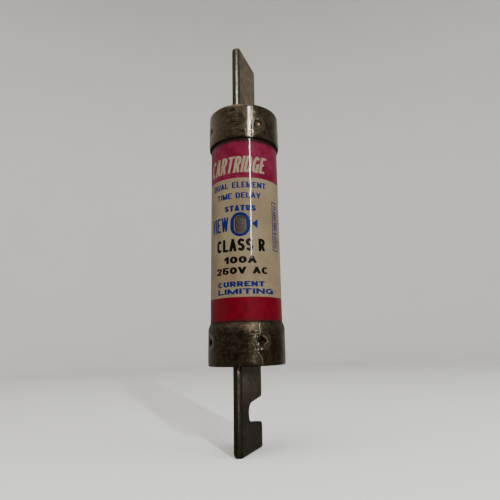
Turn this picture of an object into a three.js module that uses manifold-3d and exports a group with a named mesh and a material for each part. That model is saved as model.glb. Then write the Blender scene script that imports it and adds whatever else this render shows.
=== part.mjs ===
// Knife-blade cartridge fuse of the dual-element time-delay kind, 100 A at 250 V, in millimetres.
// +Z runs along the fuse, and the origin is its centre. The blades' wide faces look along +X and -X.
import * as THREE from "three";
import { mergeVertices } from "three/addons/utils/BufferGeometryUtils.js";
import Module from "manifold-3d";

const wasm = await Module();
wasm.setup();

// ---- Driving dimensions ----
const OVERALL_LENGTH = 149.2; // 5 7/8 in
const BODY_LENGTH = 94; // from one cap's end face to the other's
const CAP_RADIUS = 13.5; // 1 1/16 in across
const BLADE_WIDTH = 19.05; // 3/4 in
const BLADE_THICKNESS = 3.175; // 1/8 in
const STACK_GAP = 0.2; // between pieces that lie face to face
const SIDE_GAP = 0.2; // between a piece and the hole it sits in

const TIP_Z = OVERALL_LENGTH / 2;
const CAP_END_Z = BODY_LENGTH / 2;

// Caps: drawn cups whose open rim is rolled in on the tube.
const CAP_LENGTH = 14;
const CAP_WALL = 0.7;
const CAP_END_WALL = 1.1;
const CAP_SHOULDER = 1;
const RIM_ROLL_LENGTH = 3;
const RIM_ROLL_DEPTH = 0.5;
const RIM_GAP = 0.1;
const CAP_RIM_Z = CAP_END_Z - CAP_LENGTH;
const CAP_FLOOR_Z = CAP_END_Z - CAP_END_WALL;

// Tube, label and what seals them.
const LABEL_RADIUS = 12.7;
const LABEL_WALL = 0.2;
const LABEL_HALF = CAP_RIM_Z + 2.5;
const TUBE_RADIUS = LABEL_RADIUS - LABEL_WALL - 0.1;
const BORE_RADIUS = 9.8;
const WASHER_THICKNESS = 0.9;
const WASHER_Z = CAP_FLOOR_Z - STACK_GAP - WASHER_THICKNESS;
const TUBE_HALF = WASHER_Z - STACK_GAP;

// End blocks, which carry the blades' tangs and the drive pins.
const BLOCK_RADIUS = 9.6;
const BLOCK_THICKNESS = 7.6;
const BLOCK_TOP_Z = TUBE_HALF;
const BLOCK_FOOT_Z = BLOCK_TOP_Z - BLOCK_THICKNESS;
const PIN_Z = 39;
const PIN_RADIUS = 1.05;
const PIN_OUTER = CAP_RADIUS - 0.55;
const PIN_INNER = 6.6;
const PIN_HOLE_RADIUS = PIN_RADIUS + SIDE_GAP;
const PIN_ANGLES = { front_right: -45, back_right: 45, back_left: 135, front_left: 225 };
const PLUG_RADIUS = 1.5;
const PLUG_X = -5.6;
const PLUG_LENGTH = 3;

// Blades: a full-width tongue, a root that passes the cap, and a narrow tang.
const BLADE_CROWN = 1; // how far its narrow edges bulge
const TIP_EASE = 0.3;
const BLADE_FOOT_Z = CAP_END_Z + 0.15;
const ROOT_THICKNESS = 2.9;
const ROOT_FOOT_Z = BLOCK_TOP_Z + STACK_GAP;
const TANG_WIDTH = 13;
const TANG_DEPTH = 6.4;
const NOTCH_RADIUS = 3.15; // the rejection notch's round inner end
const NOTCH_OFFSET = -0.1; // its centre across the blade, with the mouth on the negative side
const NOTCH_FROM_TIP = 12.6;
const NOTCH_FLARE = 1.1; // how far each side has spread at the mouth

// Overload section, in an air chamber between two barrier discs.
const CHAMBER_HALF = 16;
const BARRIER_THICKNESS = 1.5;
const FILL_RADIUS = 9.6;
const LINER_RADIUS = 9;
const LINER_WALL = 0.6;
const HOLDER_RADIUS = 6;
const HOLDER_FLAT_X = 3.3;
const ABSORBER_Z = -12.6;
const ABSORBER_THICKNESS = 4;
const SOLDER_BORE = 3.2;
const SOLDER_GAP = 0.15;
const PLUNGER_RADIUS = 2.45;
const PLUNGER_FOOT_Z = -11;
const PLUNGER_TOP_Z = 9.4;
const FLANGE_RADIUS = 5;
const FLANGE_Z = -0.5;
const FLANGE_THICKNESS = 1.2;
const PLUNGER_TRAVEL = 6; // up, until the flange meets the stop washer
const FIBRE_WASHER = 0.7;
const SLEEVE_THICKNESS = 4.6;
const SPRING_WIRE = 0.45; // radius
const SPRING_RADIUS = 3.9;
const SPRING_TURNS = 5;
const SPRING_END_PITCH = 0.98;

// Short-circuit strips, two at each end.
const STRIP_THICKNESS = 0.4;
const STRIP_WIDTH = 8;
const STRIP_X = HOLDER_FLAT_X + STACK_GAP;
const STRIP_FOOT = 3.6;
const STRIP_OVERLAP = 3.6; // how far a strip lies along the holder it is soldered to
const NECK_HOLE_RADIUS = 1;
const NECK_NOTCH_RADIUS = 0.8;
const NECK_PITCH = 4.6;
const NECK_ROWS = 3;

// Blown-fuse indicator behind an oval hole in the label and tube.
const WINDOW_ANGLE = 13.2; // degrees round from -Y towards +X
const WINDOW_WIDTH = 4.3;
const WINDOW_HEIGHT = 6.6;
const WINDOW_Z = 0.3;
const WIRE_RADIUS = 0.2;
const WIRE_ORBIT = 9.4;
const WIRE_GROOVE = 0.45;
const WIRE_IN_BLOCK = 3; // how far it runs up an end block's groove

const ROUND_OUTER = 32; // half the number of sides of a large circle
const ROUND_SMALL = 8;

// ---- Materials ----
function finish(color, roughness, metalness) {
  return new THREE.MeshStandardMaterial({ color, roughness, metalness });
}

const capMetal = finish(0x4a4336, 0.45, 0.9);
const bladeMetal = finish(0x5b5042, 0.5, 0.9);
const brass = finish(0xb08d4a, 0.4, 0.9);
const copper = finish(0xb06a42, 0.35, 0.9);
const steel = finish(0x8f9296, 0.3, 0.9);
const solder = finish(0xb9bcc0, 0.35, 0.8);
const tubeFibre = finish(0x8b7d5c, 0.6, 0);
const labelPaper = finish(0x93866f, 0.45, 0);
const redFibre = finish(0x7a3a2c, 0.8, 0);
const greyFibre = finish(0x8c8a84, 0.85, 0);
const sand = finish(0xcabf9f, 0.95, 0);
const clearFilm = finish(0xd8d8d0, 0.1, 0);
const padCoat = finish(0x4e4536, 0.6, 0);

// ---- Solids ----
// A closed three.js geometry as a solid that can be cut and joined.
function solidOf(geometry) {
  const bare = geometry.clone();
  bare.deleteAttribute("normal");
  bare.deleteAttribute("uv");
  const merged = mergeVertices(bare, 1e-4);
  return new wasm.Manifold(
    new wasm.Mesh({
      numProp: 3,
      vertProperties: new Float32Array(merged.attributes.position.array),
      triVerts: new Uint32Array(merged.index.array),
    }),
  );
}

function geometryOf(solid) {
  const mesh = solid.getMesh();
  const geometry = new THREE.BufferGeometry();
  geometry.setAttribute("position", new THREE.BufferAttribute(mesh.vertProperties, 3));
  geometry.setIndex(new THREE.BufferAttribute(mesh.triVerts, 1));
  geometry.computeVertexNormals();
  return geometry;
}

function cutFrom(geometry, ...cutters) {
  return geometryOf(cutters.reduce((left, cutter) => left.subtract(solidOf(cutter)), solidOf(geometry)));
}

function joined(first, ...others) {
  return geometryOf(others.reduce((sum, other) => sum.add(solidOf(other)), solidOf(first)));
}

function common(a, b) {
  return geometryOf(solidOf(a).intersect(solidOf(b)));
}

// ---- Outlines, all in the XY plane ----
const circle = (radius, x = 0, y = 0) => new THREE.Path().absarc(x, y, radius, 0, 2 * Math.PI);

function rectangle(width, height, x = 0, y = 0) {
  const path = new THREE.Path();
  path.moveTo(x - width / 2, y - height / 2);
  path.lineTo(x + width / 2, y - height / 2);
  path.lineTo(x + width / 2, y + height / 2);
  path.lineTo(x - width / 2, y + height / 2);
  path.closePath();
  return path;
}

// A slot with round ends, long in Y.
function stadium(width, height) {
  const reach = (height - width) / 2;
  const path = new THREE.Path();
  path.absarc(0, reach, width / 2, 0, Math.PI);
  path.absarc(0, -reach, width / 2, Math.PI, 2 * Math.PI);
  path.closePath();
  return path;
}

const shapeOf = (path) => new THREE.Shape(path.getPoints(ROUND_SMALL));

// A prism from z to z + depth over a round outline with holes through it.
function roundPrism(radius, z, depth, holes = [], sides = ROUND_OUTER) {
  const outline = new THREE.Shape().absarc(0, 0, radius, 0, 2 * Math.PI);
  outline.holes = holes;
  const prism = new THREE.ExtrudeGeometry(outline, { depth, bevelEnabled: false, curveSegments: sides });
  return prism.translate(0, 0, z);
}

function ring(inner, outer, z, depth, sides = ROUND_OUTER) {
  return roundPrism(outer, z, depth, [circle(inner)], sides);
}

function block(x, y, z, width, depth, height) {
  return new THREE.BoxGeometry(width, depth, height).translate(x, y, z);
}

// A rod along Z, from z to z + length.
function rod(radius, z, length, x = 0, y = 0) {
  const geometry = new THREE.CylinderGeometry(radius, radius, length, 2 * ROUND_SMALL);
  return geometry.rotateX(Math.PI / 2).translate(x, y, z + length / 2);
}

// A rod that points away from the axis at an angle from +X, from one radius to another.
function spoke(radius, inner, outer, degrees, z) {
  const geometry = new THREE.CylinderGeometry(radius, radius, outer - inner, 2 * ROUND_SMALL);
  geometry.rotateZ(-Math.PI / 2).translate((inner + outer) / 2, 0, 0);
  return geometry.rotateZ(THREE.MathUtils.degToRad(degrees)).translate(0, 0, z);
}

function pinHoles(z) {
  const [inner, outer] = [PIN_INNER - SIDE_GAP, CAP_RADIUS + 1];
  return Object.values(PIN_ANGLES).map((angle) => spoke(PIN_HOLE_RADIUS, inner, outer, angle, z));
}

// An oval prism that crosses the wall under the window, pointing away from the axis.
function windowPrism(shrink, inner, outer) {
  const outline = shapeOf(stadium(WINDOW_WIDTH - 2 * shrink, WINDOW_HEIGHT - 2 * shrink));
  const prism = new THREE.ExtrudeGeometry(outline, { depth: outer - inner, bevelEnabled: false });
  const turn = THREE.MathUtils.degToRad(WINDOW_ANGLE);
  return prism.translate(0, 0, inner).rotateX(Math.PI / 2).rotateZ(turn).translate(0, 0, WINDOW_Z);
}

// Where the indicator wire runs, as seen from above.
function wirePlace() {
  const turn = THREE.MathUtils.degToRad(WINDOW_ANGLE);
  return [WIRE_ORBIT * Math.sin(turn), -WIRE_ORBIT * Math.cos(turn)];
}

const wireGroove = () => rod(WIRE_GROOVE, -TIP_Z, OVERALL_LENGTH, ...wirePlace());

// ---- Pieces ----
const fuse = new THREE.Group();

function add(group, name, geometry, material) {
  const mesh = new THREE.Mesh(geometry, material);
  mesh.name = name;
  group.add(mesh);
  return mesh;
}

// Cap: closed end up, rim rolled in below. Its profile runs round the section of the wall.
function capGeometry() {
  const inner = CAP_RADIUS - CAP_WALL;
  const rimOuter = CAP_RADIUS - RIM_ROLL_DEPTH;
  const rimInner = LABEL_RADIUS + RIM_GAP;
  const rimTop = CAP_RIM_Z + RIM_ROLL_LENGTH;
  const section = new THREE.Path();
  section.moveTo(rimInner, CAP_RIM_Z);
  section.lineTo(rimOuter, CAP_RIM_Z);
  section.quadraticCurveTo(CAP_RADIUS, CAP_RIM_Z + RIM_ROLL_LENGTH / 4, CAP_RADIUS, rimTop);
  section.lineTo(CAP_RADIUS, CAP_END_Z - CAP_SHOULDER);
  section.absarc(CAP_RADIUS - CAP_SHOULDER, CAP_END_Z - CAP_SHOULDER, CAP_SHOULDER, 0, Math.PI / 2, false);
  section.lineTo(0, CAP_END_Z);
  section.lineTo(0, CAP_FLOOR_Z);
  section.lineTo(inner, CAP_FLOOR_Z);
  section.lineTo(inner, rimTop);
  section.lineTo(rimInner, CAP_RIM_Z + RIM_ROLL_LENGTH / 3);
  section.closePath();
  const points = section.getPoints(3).map((p) => new THREE.Vector2(Math.max(p.x, 0), p.y));
  const cup = new THREE.LatheGeometry(points, 2 * ROUND_OUTER).rotateX(Math.PI / 2);
  const slot = block(0, 0, CAP_END_Z, BLADE_THICKNESS + 3 * SIDE_GAP, BLADE_WIDTH + 3 * SIDE_GAP, 3);
  return cutFrom(cup, slot, ...pinHoles(PIN_Z));
}

// The tongue's cross-section: flat faces on the two wide sides, crowned narrow edges.
function tongueSection() {
  const flat = BLADE_WIDTH / 2 - BLADE_CROWN;
  const section = new THREE.Shape();
  section.absellipse(0, flat, BLADE_THICKNESS / 2, BLADE_CROWN, 0, Math.PI);
  section.absellipse(0, -flat, BLADE_THICKNESS / 2, BLADE_CROWN, Math.PI, 2 * Math.PI);
  section.closePath();
  return section;
}

// What is punched out of the lower blade: open at one narrow edge, round at its inner end.
function notchCutter() {
  const z = TIP_Z - NOTCH_FROM_TIP;
  const outside = -BLADE_WIDTH;
  const spread = NOTCH_RADIUS + (NOTCH_FLARE * (NOTCH_OFFSET - outside)) / (NOTCH_OFFSET + BLADE_WIDTH / 2);
  const outline = new THREE.Shape();
  outline.moveTo(outside, z + spread);
  outline.lineTo(outside, z - spread);
  outline.lineTo(NOTCH_OFFSET, z - NOTCH_RADIUS);
  outline.absarc(NOTCH_OFFSET, z, NOTCH_RADIUS, -Math.PI / 2, Math.PI / 2, false);
  outline.closePath();
  const depth = 4 * BLADE_THICKNESS;
  const settings = { depth, bevelEnabled: false, curveSegments: ROUND_SMALL };
  const prism = new THREE.ExtrudeGeometry(outline, settings);
  const yAxis = new THREE.Vector3(0, 1, 0);
  const zAxis = new THREE.Vector3(0, 0, 1);
  const xAxis = new THREE.Vector3(1, 0, 0);
  return prism.translate(0, 0, -depth / 2).applyMatrix4(new THREE.Matrix4().makeBasis(yAxis, zAxis, xAxis));
}

// Blade: a tongue with a slightly eased tip, and below it the root and the tang.
function bladeGeometry(notched) {
  const bevel = {
    bevelThickness: TIP_EASE,
    bevelSize: TIP_EASE,
    bevelOffset: -TIP_EASE,
    bevelSegments: 2,
    curveSegments: ROUND_SMALL,
  };
  const depth = TIP_Z - BLADE_FOOT_Z - 2 * TIP_EASE;
  const tongue = new THREE.ExtrudeGeometry(tongueSection(), { depth, ...bevel });
  tongue.translate(0, 0, BLADE_FOOT_Z + TIP_EASE);
  const rootTop = BLADE_FOOT_Z + 2;
  const rootHeight = rootTop - ROOT_FOOT_Z;
  const rootWidth = BLADE_WIDTH - 2 * BLADE_CROWN;
  const root = block(0, 0, rootTop - rootHeight / 2, ROOT_THICKNESS, rootWidth, rootHeight);
  const tangHeight = TANG_DEPTH + 1;
  const tang = block(0, 0, ROOT_FOOT_Z + 1 - tangHeight / 2, ROOT_THICKNESS - 0.1, TANG_WIDTH, tangHeight);
  const whole = joined(tongue, root, tang);
  return notched ? cutFrom(whole, notchCutter()) : whole;
}

function sealingWasherGeometry() {
  const slot = rectangle(BLADE_THICKNESS + 3 * SIDE_GAP, BLADE_WIDTH + 3 * SIDE_GAP);
  return roundPrism(TUBE_RADIUS, WASHER_Z, WASHER_THICKNESS, [slot]);
}

function endBlockGeometry(withFillHole) {
  const holes = withFillHole ? [circle(PLUG_RADIUS + SIDE_GAP, PLUG_X, 0)] : [];
  const puck = roundPrism(BLOCK_RADIUS, BLOCK_FOOT_Z, BLOCK_THICKNESS, holes);
  const pocketHeight = TANG_DEPTH + 2;
  const pocketZ = BLOCK_TOP_Z - TANG_DEPTH - STACK_GAP + pocketHeight / 2;
  const pocketSize = [ROOT_THICKNESS + 2 * SIDE_GAP, TANG_WIDTH + 2 * SIDE_GAP, pocketHeight];
  const pocket = block(0, 0, pocketZ, ...pocketSize);
  return cutFrom(puck, pocket, ...pinHoles(PIN_Z));
}

// Strip: an L whose foot lies under the end block, narrowed at each row so that it melts there first.
function stripGeometry(lowZ) {
  const top = BLOCK_FOOT_Z - STACK_GAP;
  const height = top - lowZ;
  const legX = STRIP_X + STRIP_THICKNESS / 2;
  const leg = block(legX, 0, lowZ + height / 2, STRIP_THICKNESS, STRIP_WIDTH, height);
  const footX = STRIP_X + STRIP_FOOT / 2;
  const foot = block(footX, 0, top - STRIP_THICKNESS / 2, STRIP_FOOT, STRIP_WIDTH, STRIP_THICKNESS);
  const fillMiddle = (CHAMBER_HALF + BARRIER_THICKNESS + BLOCK_FOOT_Z) / 2;
  const cutters = [];
  for (let row = 0; row < NECK_ROWS; row++) {
    const z = fillMiddle + (row - (NECK_ROWS - 1) / 2) * NECK_PITCH;
    for (const [y, radius] of [
      [-STRIP_WIDTH / 2, NECK_NOTCH_RADIUS],
      [0, NECK_HOLE_RADIUS],
      [STRIP_WIDTH / 2, NECK_NOTCH_RADIUS],
    ])
      cutters.push(spoke(radius, STRIP_X - 1, STRIP_X + 1, 0, z).translate(0, y, 0));
  }
  return cutFrom(joined(leg, foot), ...cutters);
}

// What the two strips' legs pass through, all along the fuse.
function stripChannels() {
  const middle = STRIP_X + STRIP_THICKNESS / 2;
  const width = STRIP_THICKNESS + 2 * SIDE_GAP;
  return [-middle, middle].map((x) => block(x, 0, 0, width, STRIP_WIDTH + 2 * SIDE_GAP, OVERALL_LENGTH));
}

// One end's cap, blade, sealing washer, pins and strips, pointing up. The lower end is turned over
// about X afterwards, so its pins are placed the other way round to keep their names' places.
function endAssembly(side, notched, stripLowZ) {
  const sense = notched ? -1 : 1;
  const end = new THREE.Group();
  add(end, side + "_cap", capGeometry(), capMetal);
  add(end, side + "_blade", bladeGeometry(notched), bladeMetal);
  add(end, side + "_sealing_washer", sealingWasherGeometry(), redFibre);
  for (const [place, angle] of Object.entries(PIN_ANGLES))
    add(end, side + "_pin_" + place, spoke(PIN_RADIUS, PIN_INNER, PIN_OUTER, sense * angle, PIN_Z), brass);
  for (const [place, turn] of Object.entries({ right: 0, left: Math.PI })) {
    const strip = add(end, side + "_link_strip_" + place, stripGeometry(stripLowZ), copper);
    strip.rotation.z = turn;
  }
  return end;
}

function addFilling(side, sign) {
  const fillFoot = CHAMBER_HALF + BARRIER_THICKNESS + 3 * STACK_GAP;
  const fillTop = BLOCK_FOOT_Z - STRIP_THICKNESS - 2 * STACK_GAP;
  const barrierZ = CHAMBER_HALF + 2 * STACK_GAP;
  const spans = {
    barrier_disc: [barrierZ, BARRIER_THICKNESS, redFibre],
    sand_filler: [fillFoot, fillTop - fillFoot, sand],
  };
  for (const [name, [z, depth, material]] of Object.entries(spans)) {
    const low = sign > 0 ? z : -z - depth;
    const geometry = cutFrom(roundPrism(FILL_RADIUS, low, depth), ...stripChannels(), wireGroove());
    add(fuse, side + "_" + name, geometry, material);
  }
}

function addEndBlock(side, sign) {
  const geometry = endBlockGeometry(sign > 0);
  if (sign < 0) geometry.rotateX(Math.PI);
  add(fuse, side + "_end_block", cutFrom(geometry, wireGroove()), brass);
}

function addEnds() {
  const sleeveZ = stopWasherZ() + FIBRE_WASHER + STACK_GAP;
  const upper = endAssembly("upper", false, sleeveZ + SLEEVE_THICKNESS - STRIP_OVERLAP);
  const lower = endAssembly("lower", true, -ABSORBER_Z - STRIP_OVERLAP);
  lower.rotation.x = Math.PI;
  fuse.add(upper, lower);
  for (const [side, sign] of [
    ["upper", 1],
    ["lower", -1],
  ]) {
    addEndBlock(side, sign);
    addFilling(side, sign);
  }
  const plug = rod(PLUG_RADIUS, BLOCK_TOP_Z - PLUG_LENGTH, PLUG_LENGTH, PLUG_X, 0);
  add(fuse, "upper_fill_plug", plug, redFibre);
}

function addTubeAndLabel() {
  const windowHole = windowPrism(0, BORE_RADIUS - 1, LABEL_RADIUS + 1);
  const tube = ring(BORE_RADIUS, TUBE_RADIUS, -TUBE_HALF, 2 * TUBE_HALF);
  add(fuse, "body_tube", cutFrom(tube, ...pinHoles(PIN_Z), ...pinHoles(-PIN_Z), windowHole), tubeFibre);
  const sleeve = ring(LABEL_RADIUS - LABEL_WALL, LABEL_RADIUS, -LABEL_HALF, 2 * LABEL_HALF);
  add(fuse, "label_sleeve", cutFrom(sleeve, windowHole), labelPaper);
}

function addIndicator() {
  const span = [-WINDOW_HEIGHT, 2 * WINDOW_HEIGHT];
  const prism = windowPrism(SIDE_GAP, BORE_RADIUS - 1, LABEL_RADIUS + 1);
  const lensShell = ring(TUBE_RADIUS - 0.2, LABEL_RADIUS, ...span);
  const padShell = ring(BORE_RADIUS + 0.15, TUBE_RADIUS - 0.3, ...span);
  add(fuse, "indicator_lens", common(lensShell, prism), clearFilm);
  add(fuse, "indicator_pad", common(padShell, prism), padCoat);
  const reach = BLOCK_FOOT_Z + WIRE_IN_BLOCK;
  add(fuse, "indicator_wire", rod(WIRE_RADIUS, -reach, 2 * reach, ...wirePlace()), steel);
}

// Holder: a round puck with two flats that the strips lie on, and a bore for the plunger.
function holderGeometry(z, thickness, bore) {
  const puck = roundPrism(HOLDER_RADIUS, z, thickness, [circle(bore)], 2 * ROUND_SMALL);
  return common(puck, block(0, 0, z + thickness / 2, 2 * HOLDER_FLAT_X, 3 * HOLDER_RADIUS, 2 * thickness));
}

// Plunger: a stepped rod, soldered in the absorber at its foot, with a flange that the spring pushes.
function plungerGeometry() {
  const section = [
    [0, PLUNGER_FOOT_Z],
    [PLUNGER_RADIUS, PLUNGER_FOOT_Z],
    [PLUNGER_RADIUS, FLANGE_Z],
    [FLANGE_RADIUS, FLANGE_Z],
    [FLANGE_RADIUS, FLANGE_Z + FLANGE_THICKNESS],
    [PLUNGER_RADIUS, FLANGE_Z + FLANGE_THICKNESS],
    [PLUNGER_RADIUS, PLUNGER_TOP_Z],
    [0, PLUNGER_TOP_Z],
  ].map(([x, y]) => new THREE.Vector2(x, y));
  return new THREE.LatheGeometry(section, 4 * ROUND_SMALL).rotateX(Math.PI / 2);
}

// A helix with a closed turn at each end. The pitch between those turns is what is left of the height.
class SpringLine extends THREE.Curve {
  constructor(lowZ, highZ) {
    super();
    this.lowZ = lowZ;
    this.highZ = highZ;
  }
  getPoint(t, target = new THREE.Vector3()) {
    const turns = t * SPRING_TURNS;
    const open = SPRING_TURNS - 2;
    const pitch = (this.highZ - this.lowZ - 2 * SPRING_END_PITCH) / open;
    const middle = THREE.MathUtils.clamp(turns - 1, 0, open);
    const rise = SPRING_END_PITCH * (turns - middle) + pitch * middle;
    const angle = 2 * Math.PI * turns;
    return target.set(SPRING_RADIUS * Math.cos(angle), SPRING_RADIUS * Math.sin(angle), this.lowZ + rise);
  }
}

function springGeometry(footZ, topZ) {
  const wire = new THREE.Shape(circle(SPRING_WIRE).getPoints(ROUND_SMALL / 2));
  const line = new SpringLine(footZ + SPRING_WIRE + STACK_GAP, topZ - SPRING_WIRE - STACK_GAP);
  return new THREE.ExtrudeGeometry(wire, { steps: 16 * SPRING_TURNS, extrudePath: line });
}

function stopWasherZ() {
  return FLANGE_Z + FLANGE_THICKNESS + PLUNGER_TRAVEL + 2 * STACK_GAP;
}

function addOverloadSection() {
  const absorberTop = ABSORBER_Z + ABSORBER_THICKNESS;
  const seatZ = absorberTop + STACK_GAP;
  const stopZ = stopWasherZ();
  const sleeveZ = stopZ + FIBRE_WASHER + STACK_GAP;
  const plungerBore = PLUNGER_RADIUS + SIDE_GAP;
  const solderSpan = [PLUNGER_RADIUS + SOLDER_GAP, SOLDER_BORE - SOLDER_GAP];
  const solderDepth = absorberTop - PLUNGER_FOOT_Z;
  const liner = ring(LINER_RADIUS - LINER_WALL, LINER_RADIUS, -CHAMBER_HALF, 2 * CHAMBER_HALF);
  const solderRing = ring(...solderSpan, PLUNGER_FOOT_Z, solderDepth, 2 * ROUND_SMALL);
  const washer = (z) => ring(plungerBore, FLANGE_RADIUS, z, FIBRE_WASHER, 2 * ROUND_SMALL);
  add(fuse, "chamber_liner", liner, greyFibre);
  add(fuse, "heat_absorber", holderGeometry(ABSORBER_Z, ABSORBER_THICKNESS, SOLDER_BORE), copper);
  add(fuse, "solder_ring", solderRing, solder);
  add(fuse, "spring_seat_washer", washer(seatZ), redFibre);
  add(fuse, "trigger_spring", springGeometry(seatZ + FIBRE_WASHER, FLANGE_Z), steel);
  add(fuse, "trigger_plunger", plungerGeometry(), copper);
  add(fuse, "stop_washer", washer(stopZ), redFibre);
  add(fuse, "contact_sleeve", holderGeometry(sleeveZ, SLEEVE_THICKNESS, plungerBore), copper);
}

addTubeAndLabel();
addIndicator();
addEnds();
addOverloadSection();

export default fuse;
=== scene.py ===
"""Looks for the knife-blade cartridge fuse: meshes, printed label, worn metal, studio and camera."""
import math

import bmesh
import bpy
import numpy as np
from mathutils import Matrix, Vector


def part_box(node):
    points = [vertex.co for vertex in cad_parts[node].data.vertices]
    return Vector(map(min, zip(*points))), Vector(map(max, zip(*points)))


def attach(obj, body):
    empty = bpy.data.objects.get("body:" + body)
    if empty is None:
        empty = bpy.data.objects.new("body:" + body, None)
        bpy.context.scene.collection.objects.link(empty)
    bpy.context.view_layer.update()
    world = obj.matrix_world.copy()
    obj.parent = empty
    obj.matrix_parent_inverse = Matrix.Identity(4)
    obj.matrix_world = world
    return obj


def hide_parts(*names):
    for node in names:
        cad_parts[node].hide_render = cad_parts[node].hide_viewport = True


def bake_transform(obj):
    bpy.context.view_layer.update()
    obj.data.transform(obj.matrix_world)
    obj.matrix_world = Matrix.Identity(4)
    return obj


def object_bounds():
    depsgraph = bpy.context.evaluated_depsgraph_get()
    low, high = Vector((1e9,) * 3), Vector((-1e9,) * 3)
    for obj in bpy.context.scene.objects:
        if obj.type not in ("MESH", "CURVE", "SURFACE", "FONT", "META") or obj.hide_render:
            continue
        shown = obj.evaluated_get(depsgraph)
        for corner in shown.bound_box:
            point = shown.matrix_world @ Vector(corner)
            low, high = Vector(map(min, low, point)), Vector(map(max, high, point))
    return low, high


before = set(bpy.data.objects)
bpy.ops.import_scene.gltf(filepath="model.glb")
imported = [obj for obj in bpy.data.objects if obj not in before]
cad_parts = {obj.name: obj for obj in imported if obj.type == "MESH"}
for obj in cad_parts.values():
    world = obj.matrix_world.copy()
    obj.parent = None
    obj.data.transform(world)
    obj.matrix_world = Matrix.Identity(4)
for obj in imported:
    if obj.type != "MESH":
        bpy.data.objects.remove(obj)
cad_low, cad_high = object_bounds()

MM = 0.001  # lengths below are in millimetres unless a name says otherwise
TAU = 2 * math.pi

# ---- Sizes, shared with the CAD part ----
TIP_Z = 74.6
CAP_RADIUS = 13.5
CAP_WALL = 0.7
CAP_END_Z = 47.0
CAP_FLOOR_Z = 45.9
CAP_RIM_Z = 33.0
LABEL_RADIUS = 12.7
LABEL_WALL = 0.2
LABEL_HALF = 35.5
TUBE_RADIUS = 12.4
BORE_RADIUS = 9.8
TUBE_HALF = 44.6
BLADE_WIDTH = 19.05
BLADE_THICKNESS = 3.175
BLADE_FOOT_Z = 44.9  # where the narrower tang begins, inside the cap
TANG_END_Z = 38.2
TANG_HALF = 6.5
NOTCH_Z_IN = 12.6  # the notch's middle, back from the tip
NOTCH_DEPTH_PAST_MIDDLE = 3.05
NOTCH_RADIUS = 3.15
NOTCH_MOUTH_HALF = 4.25
NOTCH_MOUTH_ROUND = 1.2
PIN_Z = 39.0
PIN_RADIUS = 1.05
PIN_PLACES = {"front_right": -45, "back_right": 45, "back_left": 135, "front_left": 225}
WINDOW_TURN = 13.2  # degrees round from -Y towards +X
WINDOW_WIDTH = 4.3
WINDOW_HEIGHT = 6.6
WINDOW_Z = 0.3
UPPER_BAND_Z = 17.58  # where the label's cream field ends
LOWER_BAND_Z = -24.72
VIEW_TURN = 21.3  # the label's front, from which print is placed
LAP_TURN = 186.0  # where the label's end laps over its start, at the back

# ---- How a cap's seam strays sideways as it goes up the wall ----
SWING_Z = 43.6  # where the long swing crosses the seam's own line
SWING_RATE = 0.68  # radians to a millimetre
SWING_FOOT_Z = 37.5  # the long swing fades in over 3 mm from here
SWING_FADE = 3.0
SHAKE_RATE = 2.3
SHAKE = 0.08


# ---------------------------------------------------------------- meshes
def make_object(name, points, faces, material, sharp=40):
    """A smooth-shaded mesh from points in millimetres. Edges over the sharp angle stay crisp."""
    mesh = bpy.data.meshes.new(name)
    mesh.from_pydata([tuple(float(c) * MM for c in p) for p in points], [], faces)
    bm = bmesh.new()
    bm.from_mesh(mesh)
    bmesh.ops.remove_doubles(bm, verts=bm.verts, dist=2e-6)
    bmesh.ops.dissolve_degenerate(bm, edges=bm.edges, dist=1e-7)
    bmesh.ops.recalc_face_normals(bm, faces=bm.faces)
    loose = [v for v in bm.verts if not v.link_faces]
    bmesh.ops.delete(bm, geom=loose, context="VERTS")
    bm.to_mesh(mesh)
    bm.free()
    mesh.polygons.foreach_set("use_smooth", [True] * len(mesh.polygons))
    mesh.set_sharp_from_angle(angle=math.radians(sharp))
    obj = bpy.data.objects.new(name, mesh)
    bpy.context.scene.collection.objects.link(obj)
    mesh.materials.append(material)
    return obj


def place(obj, body, slot, *nodes):
    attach(obj, body)
    if nodes:
        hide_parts(*nodes)
    return obj


def spread(low, high, coarse, fine, centres, reach):
    """Positions from low to high, close together near each centre."""
    values = [low]
    while values[-1] < high - 1e-9:
        near = min((abs(values[-1] - c) for c in centres), default=1e9)
        step = fine if near < reach else min(coarse, fine + 0.35 * (near - reach))
        values.append(min(high, values[-1] + step))
    return np.array(values)


def smooth(x):
    x = np.clip(x, 0, 1)
    return x * x * (3 - 2 * x)


def polar(radius, angle, z):
    """Points at turns from -Y towards +X."""
    return np.stack([radius * np.sin(angle), -radius * np.cos(angle), z], axis=-1)


def wrapped(arc, radius):
    """A distance round the fuse, brought to within half a turn of 0."""
    return (arc + math.pi * radius) % (TAU * radius) - math.pi * radius


def lattice(rows, sides):
    """Faces between rows of points, each row a closed ring of sides points."""
    faces = []
    for i in range(rows - 1):
        for k in range(sides):
            n = (k + 1) % sides
            faces.append((i * sides + k, i * sides + n, (i + 1) * sides + n, (i + 1) * sides + k))
    return faces


def wave(points, seed, amplitude, size):
    """Smooth random shift, the same each run: a few sines of fixed random directions."""
    rng = np.random.default_rng(seed)
    total = np.zeros(len(points))
    for _ in range(6):
        direction = rng.normal(size=3)
        direction *= TAU / (size * rng.uniform(0.7, 1.8)) / np.linalg.norm(direction)
        total += np.sin(points @ direction + rng.uniform(0, TAU))
    return amplitude * total / 3


def disc_hole(turn, z, radius, reference):
    """Signed distance to a round hole, on a wall unrolled at the reference radius."""
    return oval_hole(turn, z, 2 * radius, 2 * radius, reference)


def oval_hole(turn, z, width, height, reference):
    """Signed distance to an upright oval hole with straight sides, on the same unrolled wall."""
    centre = math.radians(turn) * reference
    reach = (height - width) / 2

    def distance(s, h):
        around = wrapped(s - centre, reference)
        along = np.maximum(np.abs(h - z) - reach, 0)
        return np.hypot(around, along) - width / 2

    return distance


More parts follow.
